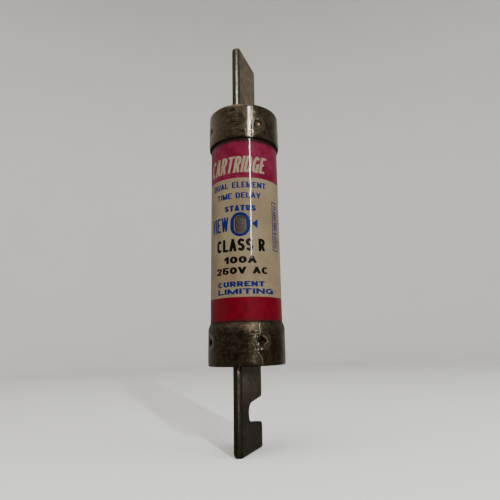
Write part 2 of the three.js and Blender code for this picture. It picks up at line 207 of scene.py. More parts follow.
def pierced_shell(turns, heights, outer, inner, top, bottom, holes, reference):
    """Closed wall of revolution with holes through it.

    turns are angles from -Y towards +X, in radians. outer and inner give a radius for (turn, height).
    top and bottom are lists of functions of turns that give the rows which join the two surfaces.
    """
    count = len(turns)
    turn_grid, height_grid = np.meshgrid(turns, heights)
    moved_s, moved_h = turn_grid * reference, height_grid.copy()
    gone = np.zeros((len(heights) - 1, count), bool)
    for hole in holes:
        value = hole(moved_s, moved_h)
        following = np.roll(value, -1, axis=1)
        middle = (value[:-1] + value[1:] + following[:-1] + following[1:]) / 4
        dead = middle < 0
        gone |= dead
        touched = np.zeros(value.shape, int)
        for dz in (0, 1):
            for dc in (0, 1):
                touched[dz : dz + dead.shape[0]] += np.roll(dead, dc, axis=1)
        edge = (touched > 0) & (touched < 4)
        step = 1e-3
        slope_s = (hole(moved_s + step, moved_h) - hole(moved_s - step, moved_h)) / (2 * step)
        slope_h = (hole(moved_s, moved_h + step) - hole(moved_s, moved_h - step)) / (2 * step)
        moved_s = np.where(edge, moved_s - value * slope_s, moved_s)
        moved_h = np.where(edge, moved_h - value * slope_h, moved_h)

    def surface(radius_of):
        angle = moved_s / reference
        return polar(radius_of(angle, moved_h), angle, moved_h)

    outside, inside = surface(outer), surface(inner)
    rows = [*outside, *(row(turns) for row in top), *inside[::-1], *(row(turns) for row in bottom)]
    points = np.concatenate(rows)
    total, high = len(rows), len(heights)
    first_inner = high + len(top)

    def reveal(k, c, m, d):
        """Face through the wall between two neighbouring points of the outer surface."""
        first_row, last_row = (first_inner + high - 1 - row for row in (k, m))
        c, d = c % count, d % count
        return (k * count + c, m * count + d, last_row * count + d, first_row * count + c)

    faces = []
    for i in range(total):
        j = (i + 1) % total
        for c in range(count):
            d = (c + 1) % count
            if i < high - 1 and gone[i, c]:
                continue
            if first_inner <= i < first_inner + high - 1 and gone[first_inner + high - 2 - i, c]:
                continue
            faces.append((i * count + c, i * count + d, j * count + d, j * count + c))
    for k in range(high - 1):
        for c in range(count):
            if not gone[k, c]:
                continue
            if not gone[k, (c - 1) % count]:
                faces.append(reveal(k, c, k + 1, c))
            if not gone[k, (c + 1) % count]:
                faces.append(reveal(k, c + 1, k + 1, c + 1))
            if k == 0 or not gone[k - 1, c]:
                faces.append(reveal(k, c, k, c + 1))
            if k == high - 2 or not gone[k + 1, c]:
                faces.append(reveal(k + 1, c, k + 1, c + 1))
    return points, faces


def circle_row(radius, z):
    def row(turns):
        return polar(radius, turns, np.full(len(turns), z))

    return row


def slot_row(share, z, half_x, half_y, outer_radius):
    """Part way from a circle to a slot with rounded corners."""

    def row(turns):
        dx, dy = np.sin(turns), -np.cos(turns)
        power = 14
        slot = (np.abs(dx / half_x) ** power + np.abs(dy / half_y) ** power) ** (-1 / power)
        return polar(outer_radius + share * (slot - outer_radius), turns, np.full(len(turns), z))

    return row


def flip(points):
    """Turns an end that points up so that it points down."""
    return np.array(points) * np.array([1, -1, -1])


def turned_about_z(points, degrees):
    c, s = math.cos(math.radians(degrees)), math.sin(math.radians(degrees))
    return np.array(points) @ np.array([[c, s, 0], [-s, c, 0], [0, 0, 1]])


def pin_turn(degrees):
    """CAD angles run from +X; turns run from -Y."""
    return (degrees + 90) % 360


# ---------------------------------------------------------------- shading
BLADE_SLANT = 0.37  # radians


def scaled(color, share):
    return tuple(share * c for c in color)


class Shade:
    """Builds one procedural material. Coordinates are the object's own, in millimetres."""

    def __init__(self, name, **constants):
        self.material = bpy.data.materials.new(name)
        self.material.use_nodes = True
        self.tree = self.material.node_tree
        self.tree.nodes.clear()
        self.bsdf = self.add("ShaderNodeBsdfPrincipled")
        output = self.add("ShaderNodeOutputMaterial")
        self.tree.links.new(self.bsdf.outputs[0], output.inputs["Surface"])
        for key, value in constants.items():
            self.bsdf.inputs[key.replace("_", " ")].default_value = value
        coordinates = self.add("ShaderNodeTexCoord")
        scaled = self.add("ShaderNodeVectorMath", operation="SCALE")
        self.tree.links.new(coordinates.outputs["Object"], scaled.inputs[0])
        scaled.inputs["Scale"].default_value = 1 / MM
        self.place = scaled.outputs[0]
        split = self.add("ShaderNodeSeparateXYZ")
        self.tree.links.new(self.place, split.inputs[0])
        self.x, self.y, self.z = split.outputs

    def add(self, kind, **properties):
        node = self.tree.nodes.new(kind)
        for key, value in properties.items():
            setattr(node, key, value)
        return node

    def feed(self, socket, value):
        if isinstance(value, bpy.types.NodeSocket):
            self.tree.links.new(value, socket)
        elif isinstance(value, (tuple, list)) and len(value) == 3 and len(socket.default_value) == 4:
            socket.default_value = (*value, 1)
        else:
            socket.default_value = value

    def math(self, operation, *values, clamp=False):
        node = self.add("ShaderNodeMath", operation=operation, use_clamp=clamp)
        for socket, value in zip(node.inputs, values):
            self.feed(socket, value)
        return node.outputs[0]

    def plus(self, *values):
        total = values[0]
        for value in values[1:]:
            total = self.math("ADD", total, value)
        return total

    def times(self, *values):
        total = values[0]
        for value in values[1:]:
            total = self.math("MULTIPLY", total, value)
        return total

    def step(self, value, low, high, start=0.0, end=1.0):
        """Smooth rise from start at low to end at high."""
        node = self.add("ShaderNodeMapRange", interpolation_type="SMOOTHSTEP", clamp=True)
        for socket, given in zip(node.inputs, (value, low, high, start, end)):
            self.feed(socket, given)
        return node.outputs[0]

    def apart(self, value, other):
        return self.math("ABSOLUTE", self.math("SUBTRACT", value, other))

    def hypot(self, first, second):
        return self.math("SQRT", self.plus(self.times(first, first), self.times(second, second)))

    def stretched(self, scale, turn=(0, 0, 0)):
        """The place, turned and then scaled along each axis."""
        node = self.add("ShaderNodeMapping", vector_type="POINT")
        self.feed(node.inputs["Vector"], self.place)
        node.inputs["Rotation"].default_value = turn
        node.inputs["Scale"].default_value = scale
        return node.outputs[0]

    def noise(self, scale, detail=3.0, rough=0.55, place=None, warp=0.0):
        node = self.add("ShaderNodeTexNoise")
        self.feed(node.inputs["Vector"], place or self.place)
        node.inputs["Scale"].default_value = scale
        node.inputs["Detail"].default_value = detail
        node.inputs["Roughness"].default_value = rough
        node.inputs["Distortion"].default_value = warp
        return node.outputs["Fac"]

    def cells(self, scale, place=None, feature="F1"):
        node = self.add("ShaderNodeTexVoronoi", feature=feature)
        self.feed(node.inputs["Vector"], place or self.place)
        node.inputs["Scale"].default_value = scale
        return node.outputs["Distance"]

    def mix(self, share, first, second, blend="MIX"):
        node = self.add("ShaderNodeMix", data_type="RGBA", blend_type=blend)
        self.feed(node.inputs["Factor"], share)
        self.feed(node.inputs[6], first)
        self.feed(node.inputs[7], second)
        return node.outputs[2]

    def bump(self, height, depth, normal=None):
        """Bump from a height of 0 to 1 that stands for the given depth."""
        node = self.add("ShaderNodeBump")
        self.feed(node.inputs["Height"], height)
        node.inputs["Strength"].default_value = 1
        node.inputs["Distance"].default_value = depth * MM
        if normal is not None:
            self.feed(node.inputs["Normal"], normal)
        return node.outputs[0]

    def finish(self, color=None, roughness=None, normal=None, metallic=None, coat_normal=None):
        named = {"Base Color": color, "Roughness": roughness, "Normal": normal, "Metallic": metallic}
        for key, value in named.items():
            if value is not None:
                self.feed(self.bsdf.inputs[key], value)
        if coat_normal is not None:
            self.feed(self.bsdf.inputs["Coat Normal"], coat_normal)
        return self.material

    def turn_arc(self, radius):
        """Distance round the fuse from -Y towards +X, at a radius."""
        back = self.math("MULTIPLY", self.y, -1.0)
        return self.times(self.math("ARCTAN2", self.x, back), radius)

    def mixed_by(self, share, first, second):
        """A number that goes from first to second with the share."""
        node = self.add("ShaderNodeMix", data_type="FLOAT")
        for index, value in ((0, share), (2, first), (3, second)):
            self.feed(node.inputs[index], value)
        return node.outputs[0]

    def glaze(self, fine):
        """The clear film's own slow ripple, shared by the paper and the print."""
        return self.bump(self.plus(self.noise(0.30, 2, 0.5), self.times(fine, 0.010)), 0.045)

    def slanting(self, along, across, slope, width):
        """Broken lines on the blades' wide faces that fall by the slope towards +Y."""
        level = self.plus(self.z, self.times(self.y, math.tan(slope)))
        place = self.add("ShaderNodeCombineXYZ")
        parts = (self.x, self.times(self.y, along), self.times(level, across))
        for socket, value in zip(place.inputs, parts):
            self.feed(socket, value)
        lines = self.noise(1.0, 2.0, 0.5, place.outputs[0])
        away = self.apart(lines, 0.5)
        breaks = self.step(self.noise(0.5, 2, 0.5), 0.42, 0.56)
        return self.times(self.step(away, 0.0, width, 1.0, 0.0), breaks)

    def scratches(self, scale, turn, length=0.04, width=0.06):
        """Thin broken lines: the narrow middle of a noise that is stretched one way."""
        place = self.stretched((length * scale, scale, scale), turn)
        lines = self.noise(1.0, 1.0, 0.5, place, 0.3)
        away = self.apart(lines, 0.5)
        return self.step(away, 0.0, width, 1.0, 0.0)


def nearest_pin(s, arc, height):
    """How far the nearest pin is, and how far to one side of it, down and to the right."""
    near, side = None, None
    for degrees in PIN_PLACES.values():
        centre = math.radians((pin_turn(degrees) + 180) % 360 - 180) * CAP_RADIUS
        aside = s.math("SUBTRACT", arc, centre)
        above = s.math("SUBTRACT", height, PIN_Z)
        away = s.hypot(aside, above)
        corner = s.plus(s.times(aside, 0.62), s.times(above, -0.78))
        side = corner if side is None else s.mixed_by(s.math("LESS_THAN", away, near), side, corner)
        near = away if near is None else s.math("MINIMUM", near, away)
    return near, side


def off_seam_line(s, arc, height, seam_turn, sway):
    swing = s.math("SINE", s.times(s.math("SUBTRACT", height, SWING_Z), SWING_RATE))
    swing = s.times(swing, s.step(height, SWING_FOOT_Z, SWING_FOOT_Z + SWING_FADE, 0, sway))
    shake = s.times(s.math("SINE", s.times(height, SHAKE_RATE)), SHAKE)
    return s.apart(arc, s.plus(swing, shake, math.radians(seam_turn) * CAP_RADIUS))


def cap_metal(name, tone, pale, painted_streak, seam, worn, hollow, matt):
    """Drawn metal with brown-olive tarnish, wear round its pins and a seam that strays down the wall.

    Turns are in degrees from -Y towards +X. pale: how much paler a painted reflection makes it at the left.
    painted_streak: turn and share of a painted highlight streak.
    seam: turn, sway, crack, how far from it its bright lips lie, and their colour. worn: turn, height
    and share. hollow: how dark the painted shade in the pins' dishes is. matt: how much rougher the rolled
    rim is.
    """
    s = Shade(name)
    large = s.noise(0.15, 4, 0.6)
    middle = s.noise(0.7, 4, 0.62, warp=0.6)
    fine = s.noise(2.1, 5, 0.74)
    arc = s.turn_arc(CAP_RADIUS)
    height = s.math("ABSOLUTE", s.z)
    patches = s.step(s.plus(s.times(large, 0.55), s.times(middle, 0.45)), 0.38, 0.62)
    color = s.mix(patches, scaled((0.030, 0.020, 0.0085), tone), scaled((0.076, 0.055, 0.029), tone))
    # painted reflection: the wall is painted paler towards its left (-X) side
    left = s.step(s.plus(arc, s.times(large, 6.0)), -8.0, 4.0, pale, 0)
    color = s.mix(left, color, (0.150, 0.105, 0.066))
    color = s.mix(s.step(fine, 0.50, 0.72, 0, 0.5), color, scaled((0.135, 0.108, 0.068), tone))
    specks = s.step(s.cells(1.3), 0.07, 0.17, 1, 0)
    rare = s.times(specks, s.step(middle, 0.42, 0.58))
    color = s.mix(s.times(rare, 0.8), color, (0.008, 0.005, 0.003))
    # painted highlight: a bright, broken streak down the wall at one turn, where a lamp's reflection runs
    streak_turn, streak_share = painted_streak
    beside = s.apart(arc, math.radians(streak_turn) * CAP_RADIUS)
    upright = s.noise(1.0, 5, 0.7, s.stretched((2.2, 2.2, 0.9)))
    rub_wear_and_highlight = s.times(s.step(beside, 0.1, 0.9, streak_share, 0), s.step(upright, 0.47, 0.56))
    color = s.mix(rub_wear_and_highlight, color, (0.24, 0.24, 0.22))
    worn_turn, worn_height, worn_share = worn
    worn_aside = s.math("SUBTRACT", arc, math.radians(worn_turn) * CAP_RADIUS)
    worn_above = s.math("SUBTRACT", height, worn_height)
    worn_away = s.hypot(worn_aside, worn_above)
    worn_here = s.times(s.step(worn_away, 0.4, 3.0, worn_share, 0), s.step(fine, 0.42, 0.58))
    color = s.mix(worn_here, color, (0.15, 0.118, 0.082))
    # each pin's dish: painted shade inside, scratched round its edge, bare copper on one side
    near, side = nearest_pin(s, arc, height)
    ragged = s.plus(near, s.times(s.math("SUBTRACT", s.noise(1.1, 4, 0.7), 0.5), 2.2))
    dish_shade = s.step(ragged, 1.2, 2.3, hollow, 0)
    color = s.mix(dish_shade, color, (0.014, 0.009, 0.005))
    scuffs = s.times(s.step(ragged, 1.6, 2.2), s.step(ragged, 2.5, 3.4, 1, 0), s.step(fine, 0.42, 0.60))
    color = s.mix(s.times(scuffs, 0.55), color, (0.22, 0.21, 0.18))
    bare_copper_and_glint = s.times(s.step(near, 0.9, 1.15), s.step(near, 1.5, 1.9, 1, 0), s.step(side, 0.75, 1.15))
    color = s.mix(s.times(bare_copper_and_glint, s.step(fine, 0.34, 0.5, 0, hollow)), color, (0.50, 0.28, 0.14))
    # the seam
    seam_turn, sway, crack, spacing, bright = seam
    off_seam = off_seam_line(s, arc, height, seam_turn, sway)
    groove = s.times(s.step(off_seam, 0.08, 0.28, crack, 0), s.step(height, 39.6, 41.2, 1, 0))
    lip = s.step(s.apart(off_seam, spacing), 0.05, 0.18, 1, 0)
    lip = s.times(lip, s.step(upright, 0.38, 0.56), s.step(near, 1.2, 1.8))
    color = s.mix(s.times(lip, 0.75), color, bright)
    color = s.mix(groove, color, (0.004, 0.003, 0.002))
    # wear on the shoulder, and grime with painted shade on the rolled rim
    shoulder = s.times(s.step(height, CAP_END_Z - 1.2, CAP_END_Z - 0.3), s.step(fine, 0.44, 0.66))
    color = s.mix(s.times(shoulder, 0.35), color, scaled((0.20, 0.16, 0.11), tone))
    rim_grime_and_shade = s.step(height, CAP_RIM_Z, CAP_RIM_Z + 0.8, 1, 0)
    color = s.mix(s.times(rim_grime_and_shade, 0.75), color, (0.010, 0.007, 0.005))
    rolled = s.step(height, 34.5, 37.5, matt, 0)
    rough = s.plus(s.times(middle, 0.06), s.times(fine, 0.06), rolled, 0.055)
    dulled = s.step(s.noise(0.8, 3, 0.6, s.stretched((0.7, 0.7, 1.5))), 0.50, 0.60, 0, 0.14)
    rough = s.plus(rough, dulled, s.times(s.math("MAXIMUM", rub_wear_and_highlight, lip), -0.03))
    dents = s.bump(s.noise(0.42, 3, 0.5), 0.035)
    hammer = s.bump(s.noise(1.5, 4, 0.62, warp=0.4), 0.012, dents)
    pits = s.bump(s.math("SUBTRACT", s.noise(5.5, 4, 0.7), s.times(rare, 0.9)), 0.009, hammer)
    lines = s.math("MAXIMUM", s.scratches(1.4, (0.2, 0.9, 0.4)), s.scratches(1.1, (1.1, -0.6, 1.3)))
    marked = s.bump(s.plus(s.times(lines, -0.25), s.times(groove, -1.0), s.times(lip, 0.5)), 0.05, pits)
    rings = s.bump(s.noise(1.0, 2, 0.5, s.stretched((0.05, 0.05, 7.0))), 0.008, marked)
    color = s.mix(s.times(lines, s.step(middle, 0.4, 0.6), 0.4), color, scaled((0.20, 0.17, 0.12), tone))
    return s.finish(color, rough, rings, 0.84)


def blade_metal(name, dark, light, speckle, tip_shade, highlight_x, edge_highlight_share, copper_glint_share, score):
    """Rolled strip, tarnished, with slanting scratches, painted shade and a painted highlight on its crowned
    edges.

    tip_shade is how much darker painted shade makes it at its tip than at the cap. highlight_x is where
    the painted highlight line lies across its narrow edges. The score is one deep slanting cut's level.
    """
    s = Shade(name, Specular_IOR_Level=0.12)
    height = s.math("ABSOLUTE", s.z)
    large = s.noise(0.16, 4, 0.6, s.stretched((1, 0.5, 1)))
    middle = s.noise(0.6, 4, 0.66, s.stretched((1, 0.4, 1)))
    fine = s.noise(1.8, 5, 0.74, s.stretched((1, 0.5, 1)))
    patches = s.step(s.plus(s.times(large, 0.4), s.times(middle, 0.6)), 0.40, 0.60)
    color = s.mix(patches, dark, light)
    color = s.mix(s.step(fine, 0.46, 0.62, 0, 0.45), color, scaled(light, 1.35))
    color = s.mix(s.step(fine, 0.40, 0.50, 0.35, 0), color, scaled(dark, 0.55))
    far = s.plus(height, s.times(middle, 8.0), s.times(large, 10.0))
    # painted shade: darker towards the tip, away from the cap
    color = s.mix(s.step(far, 58.0, 70.0, 0, tip_shade), color, scaled(dark, 0.3))
    slant = s.slanting(0.14, 0.6, BLADE_SLANT, 0.035)
    slant_fine = s.slanting(0.25, 1.6, BLADE_SLANT * 1.15, 0.06)
    crossing = s.slanting(0.25, 3.2, -0.6, 0.05)
    level = s.plus(height, s.times(s.y, math.tan(BLADE_SLANT)))
    deep = s.step(s.apart(level, score), 0.20, 0.75, 1, 0)
    deep = s.times(deep, s.step(s.math("ABSOLUTE", s.y), 5.5, 7.5, 1, 0))
    color = s.mix(s.times(slant, 0.7), color, scaled(dark, 0.45))
    color = s.mix(s.times(slant_fine, 0.35, s.step(large, 0.42, 0.58)), color, scaled(dark, 0.6))
    color = s.mix(s.times(crossing, 0.3), color, scaled(light, 1.5))
    color = s.mix(deep, color, scaled(dark, 0.35))
    specks = s.step(s.cells(1.9), 0.05, 0.18, 1, 0)
    spots = s.times(specks, s.step(middle, 0.40, 0.55))
    color = s.mix(s.times(spots, speckle), color, (0.008, 0.006, 0.004))
    on_edge = s.step(s.math("ABSOLUTE", s.y), 8.3, 8.8)
    # painted shade: the narrow crowned edges are painted darker than the faces
    color = s.mix(s.times(on_edge, 0.85), color, scaled(dark, 0.40))
    # painted highlight: a bright line down each narrow edge, fading away from the cap, and near the cap a
    # copper-coloured painted glint
    off_highlight = s.apart(s.x, highlight_x)
    edge_highlight = s.times(on_edge, s.step(off_highlight, 0.20, 0.42, 1, 0), s.step(fine, 0.38, 0.52))
    away_from_cap = s.step(far, 62, 82, 1, 0.15)
    color = s.mix(s.times(edge_highlight, away_from_cap, edge_highlight_share), color, (0.52, 0.52, 0.47))
    bare_copper_and_glint = s.times(edge_highlight, s.step(height, 47.8, 50.0, copper_glint_share, 0), s.step(middle, 0.40, 0.50))
    color = s.mix(bare_copper_and_glint, color, (0.62, 0.42, 0.24))
    rough = s.plus(s.times(middle, 0.14), s.times(fine, 0.18), 0.32)
    rough = s.math("SUBTRACT", s.plus(rough, s.times(slant, 0.12)), s.times(edge_highlight, 0.20))
    soft = s.bump(s.noise(0.5, 3, 0.5), 0.07)
    grain = s.bump(s.noise(1.0, 3, 0.6, s.stretched((3.5, 3.5, 0.25))), 0.010, soft)
    pits = s.bump(s.math("SUBTRACT", s.noise(5.0, 4, 0.7), s.times(spots, 0.8)), 0.022, grain)
    cuts = s.plus(s.times(slant, -0.7), s.times(slant_fine, -0.3))
    cuts = s.plus(cuts, s.times(crossing, -0.5), s.times(deep, -0.8))
    return s.finish(color, rough, s.bump(cuts, 0.035, pits), 0.18)


GLAZE = {"Coat_Weight": 0.24, "Coat_Roughness": 0.05, "Coat_IOR": 1.5, "Specular_IOR_Level": 0.04}


def label_paper():
    """Glazed label: crimson bands at both ends of a cream field, with painted shade under the rims, scuffs
    and yellowing.
    """
    s = Shade("label_glazed", **GLAZE)
    ragged = s.times(s.math("SUBTRACT", s.noise(1.2, 2), 0.5), 0.12)
    height = s.plus(s.z, ragged)
    upper = s.step(height, UPPER_BAND_Z - 0.04, UPPER_BAND_Z + 0.04)
    lower = s.step(height, LOWER_BAND_Z - 0.04, LOWER_BAND_Z + 0.04, 1, 0)
    stain = s.noise(0.09, 4, 0.62)
    cloud = s.noise(0.35, 4, 0.6)
    fine = s.noise(4.5, 4, 0.7)
    cream = s.mix(s.step(stain, 0.38, 0.64), (0.144, 0.112, 0.069), (0.120, 0.088, 0.050))
    cream = s.mix(s.step(cloud, 0.5, 0.72, 0, 0.35), cream, (0.158, 0.131, 0.088))
    cream = s.mix(s.step(fine, 0.58, 0.8, 0, 0.25), cream, (0.072, 0.053, 0.030))
    specks = s.times(s.step(s.cells(0.8), 0.03, 0.10, 1, 0), s.step(cloud, 0.46, 0.58))
    cream = s.mix(s.times(specks, 0.75), cream, (0.04, 0.028, 0.016))
    blush = s.times(s.step(s.noise(0.2, 2), 0.60, 0.75), 0.4)
    cream = s.mix(blush, cream, (0.135, 0.070, 0.043))
    crimson = s.mix(s.step(cloud, 0.35, 0.65), (0.076, 0.0022, 0.0125), (0.099, 0.0040, 0.0205))
    faded = s.mix(s.step(stain, 0.42, 0.7, 0, 0.55), crimson, (0.112, 0.0105, 0.0320))
    deep = s.mix(s.step(cloud, 0.35, 0.65), (0.070, 0.0001, 0.0036), (0.087, 0.0003, 0.0060))
    color = s.mix(upper, cream, faded)
    color = s.mix(lower, color, deep)
    # pale upright streaks, stronger towards the top
    streaks = s.noise(1.0, 4, 0.6, s.stretched((0.5, 0.5, 0.07)))
    haze = s.times(s.step(streaks, 0.56, 0.74), s.step(cloud, 0.42, 0.62))
    color = s.mix(s.times(haze, s.step(s.z, 0, 26, 0.03, 0.24)), color, (0.22, 0.18, 0.175))
    # painted shade under the rims: a ragged dark band, reaching further under the upper rim
    far = s.plus(s.math("ABSOLUTE", s.z), s.times(s.math("SUBTRACT", s.noise(0.5, 3, 0.6), 0.5), 0.7))
    above = s.step(s.z, 0, 10, 0.7, 0)
    far = s.math("SUBTRACT", far, above)
    color = s.mix(s.step(far, 31.0, 32.2, 0, 0.95), color, (0.012, 0.006, 0.004))
    rough = s.plus(0.38, s.times(cloud, 0.16), s.times(haze, 0.2))
    wrap = s.bump(s.noise(0.16, 2, 0.5), 0.10)
    fibre = s.bump(s.noise(6.0, 4, 0.7), 0.004, wrap)
    scuffs = s.scratches(1.0, (0.1, 0.5, 0.2), 0.05, 0.03)
    marked = s.bump(s.times(scuffs, -1.0), 0.006, fibre)
    return s.finish(color, rough, marked, 0.0, s.glaze(fine))


def ink(name, color, wear, rubbed_share):
    """Printed ink, a little uneven, worn thin in places."""
    s = Shade(name, **GLAZE)
    uneven = s.noise(1.8, 4, 0.7)
    fine = s.noise(4.5, 4, 0.7)
    rub_wear_and_highlight = s.step(s.noise(4.0, 4, 0.75), 0.58, 0.76, 0, rubbed_share)
    mixed = s.mix(s.step(uneven, 0.35, 0.7), color, tuple(1.4 * c + 0.002 for c in color))
    mixed = s.mix(rub_wear_and_highlight, mixed, wear)
    return s.finish(mixed, s.plus(0.36, s.times(uneven, 0.15)), None, 0.0, s.glaze(fine))


def fibre_board(name, dark, light, rough=0.75, weave=0.0):
    s = Shade(name)
    flecks = s.noise(2.5, 5, 0.7, s.stretched((1, 1, 0.35)))
    cloud = s.noise(0.4, 3, 0.6)
    color = s.mix(s.step(flecks, 0.35, 0.68), dark, light)
    color = s.mix(s.step(cloud, 0.4, 0.7, 0, 0.35), color, scaled(dark, 0.6))
    normal = s.bump(flecks, 0.03)
    if weave:
        up = s.math("SINE", s.times(s.z, weave))
        round_ = s.math("SINE", s.times(s.turn_arc(TUBE_RADIUS), weave))
        normal = s.bump(s.times(up, round_), 0.02, normal)
    return s.finish(color, s.plus(rough - 0.1, s.times(flecks, 0.2)), normal, 0.0)


def bright_metal(name, color, rough=0.28, turned=0.0, stain=(0.1, 0.05, 0.03), stained=0.4):
    """Clean inner metal: turning marks or drawn grain, a few heat stains and fingerprints."""
    s = Shade(name)
    cloud = s.noise(0.45, 4, 0.6)
    fine = s.noise(3.5, 4, 0.7)
    mixed = s.mix(s.step(fine, 0.4, 0.7, 0, 0.5), color, scaled(color, 0.72))
    mixed = s.mix(s.step(cloud, 0.5, 0.75, 0, stained), mixed, stain)
    normal = s.bump(fine, 0.012)
    if turned:
        away = s.hypot(s.x, s.y)
        marks = s.math("SINE", s.times(s.plus(away, s.z), turned))
        normal = s.bump(marks, 0.006, normal)
    return s.finish(mixed, s.plus(rough, s.times(cloud, 0.16), s.times(fine, 0.1)), normal, 1.0)


def quartz():
    s = Shade("quartz_sand_grains")
    grains = s.cells(3.2)
    tint = s.noise(2.6, 3, 0.6)
    color = s.mix(s.step(tint, 0.35, 0.65), (0.46, 0.38, 0.25), (0.74, 0.68, 0.54))
    # painted shade: darker between the grains
    color = s.mix(s.step(grains, 0.28, 0.5, 0, 0.7), color, (0.22, 0.17, 0.10))
    return s.finish(color, s.plus(0.55, s.times(tint, 0.4)), s.bump(grains, -0.12), 0.0)


def film():
    s = Shade("window_film", Alpha=0.10, IOR=1.45, Specular_IOR_Level=0.3)
    haze = s.noise(1.4, 4, 0.6)
    color = s.mix(haze, (0.03, 0.023, 0.016), (0.06, 0.05, 0.037))
    return s.finish(color, s.plus(0.10, s.times(haze, 0.12)), s.bump(s.noise(0.8, 2), 0.03), 0.0)


def pad_coat():
    s = Shade("indicating_coat", Specular_IOR_Level=0.3)
    cloud = s.noise(0.40, 4, 0.6)
    fine = s.noise(4.0, 4, 0.7)
    # painted light and shade: the pad is painted darker at its left, where the window's recess shades it, and
    # lighter towards +X
    across = s.step(s.plus(s.x, s.times(cloud, 2.0)), 2.0, 5.0)
    color = s.mix(across, (0.030, 0.018, 0.0095), (0.033, 0.027, 0.020))
    color = s.mix(s.step(fine, 0.5, 0.75, 0, 0.4), color, (0.052, 0.041, 0.030))
    return s.finish(color, s.plus(0.42, s.times(fine, 0.2)), s.bump(fine, 0.02), 0.0)


def floor_paint():
    s = Shade("pale_floor")
    cloud = s.noise(0.01, 3, 0.5)
    fine = s.noise(0.8, 4, 0.6)
    color = s.mix(cloud, (0.76, 0.755, 0.74), (0.80, 0.795, 0.78))
    return s.finish(color, s.plus(0.75, s.times(fine, 0.15)), s.bump(fine, 0.02), 0.0)


UPPER_SEAM = (33.6, 0.12, 1.0, 0.3, (0.42, 0.42, 0.38))
LOWER_SEAM = (40.0, 0.8, 0.0, 0.0, (0.32, 0.29, 0.24))
UPPER_CAP = cap_metal("cap_tarnish_upper", 0.78, 0.7, (29.8, 0.6), UPPER_SEAM, (44, 42, 0.3), 0.4, 0.0)
# painted shade: the lower cap's tone is lower than the upper cap's, for the dimmer light at the lower end
LOWER_CAP = cap_metal("cap_tarnish_lower", 0.66, 0.0, (41.0, 0.0), LOWER_SEAM, (36, 44.6, 0.6), 0.95, 0.30)
BROWN_DARK, BROWN_LIGHT = (0.030, 0.021, 0.012), (0.098, 0.073, 0.046)
# painted shade: the lower blade's browns are darker copies of the upper blade's, for the dimmer light at the
# lower end
SHADED_BROWN_DARK, SHADED_BROWN_LIGHT = scaled(BROWN_DARK, 0.8), scaled(BROWN_LIGHT, 0.75)
NO_SCORE = 90.0  # a level past the blade's tip
UPPER_BLADE = blade_metal("blade_tarnish_upper", BROWN_DARK, BROWN_LIGHT, 0.3, 0.05, 0.98, 0.9, 0.0, 50.9)
LOWER_BLADE = blade_metal("blade_tarnish_lower", SHADED_BROWN_DARK, SHADED_BROWN_LIGHT, 0.8, 0.92, 0.56, 0.08, 0.8, NO_SCORE)
LABEL = label_paper()
INK_BLUE = ink("ink_blue", (0.0002, 0.0046, 0.050), (0.09, 0.072, 0.047), 0.25)
INK_BLACK = ink("ink_black", (0.0003, 0.0003, 0.0003), (0.085, 0.068, 0.045), 0.25)
INK_CREAM = ink("ink_cream", (0.135, 0.108, 0.070), (0.10, 0.021, 0.033), 0.35)
LAMINATE = fibre_board("laminate_tube", (0.14, 0.095, 0.05), (0.30, 0.22, 0.13), 0.6, 3.1)
RED_FIBRE = fibre_board("vulcanised_fibre", (0.16, 0.032, 0.018), (0.30, 0.08, 0.045))
GREY_FIBRE = fibre_board("grey_fibre", (0.22, 0.21, 0.19), (0.38, 0.36, 0.33))
PIN_METALS = {
    "upper": bright_metal("pin_brass_dull", (0.17, 0.105, 0.065), 0.40, 0, (0.014, 0.009, 0.006), 1.0),
    # painted shade: the lower pins, deep in their dishes, are coloured near-black for the shade there
    "lower": bright_metal("pin_brass_shaded", (0.020, 0.013, 0.008), 0.50, 0, (0.006, 0.004, 0.003), 1.0),
}
BLOCK_BRASS = bright_metal("turned_brass", (0.72, 0.50, 0.22), 0.26, 14.0, (0.3, 0.16, 0.07), 0.5)
LINK_COPPER = bright_metal("link_copper_drawn", (0.80, 0.40, 0.24), 0.24, 0, (0.26, 0.08, 0.05), 0.5)
TIN = bright_metal("tin_solder", (0.66, 0.66, 0.68), 0.22, 0, (0.35, 0.34, 0.33), 0.4)
WIRE_STEEL = bright_metal("spring_wire", (0.50, 0.50, 0.52), 0.22, 0, (0.16, 0.12, 0.09), 0.4)
SAND = quartz()
FILM = film()
PAD = pad_coat()


# ---------------------------------------------------------------- caps
def cap_end_rows(shoulder_start, shoulder_radius):
    """Rows over the rounded shoulder, across the end to the blade's slot, and back under it."""
    rows = []
    for k in range(1, 7):
        a = k / 6 * math.pi / 2
        radius = shoulder_start - shoulder_radius * (1 - math.cos(a))
        rows.append(circle_row(radius, CAP_END_Z - shoulder_radius + shoulder_radius * math.sin(a)))
    plate = shoulder_start - shoulder_radius
    half_x, half_y = BLADE_THICKNESS / 2 + 0.36, BLADE_WIDTH / 2 + 0.22
    for share in (0.04, 0.2, 0.4, 0.6, 0.8, 0.93, 0.985):
        rows.append(slot_row(share, CAP_END_Z, half_x, half_y, plate))
    rows.append(slot_row(1.0, CAP_END_Z - 0.12, half_x, half_y, plate))
    rows.append(slot_row(1.0, CAP_FLOOR_Z, half_x, half_y, plate))
    for share in (0.7, 0.35, 0.0):
        rows.append(slot_row(share, CAP_FLOOR_Z, half_x, half_y, CAP_RADIUS - CAP_WALL - 0.1))
    return rows


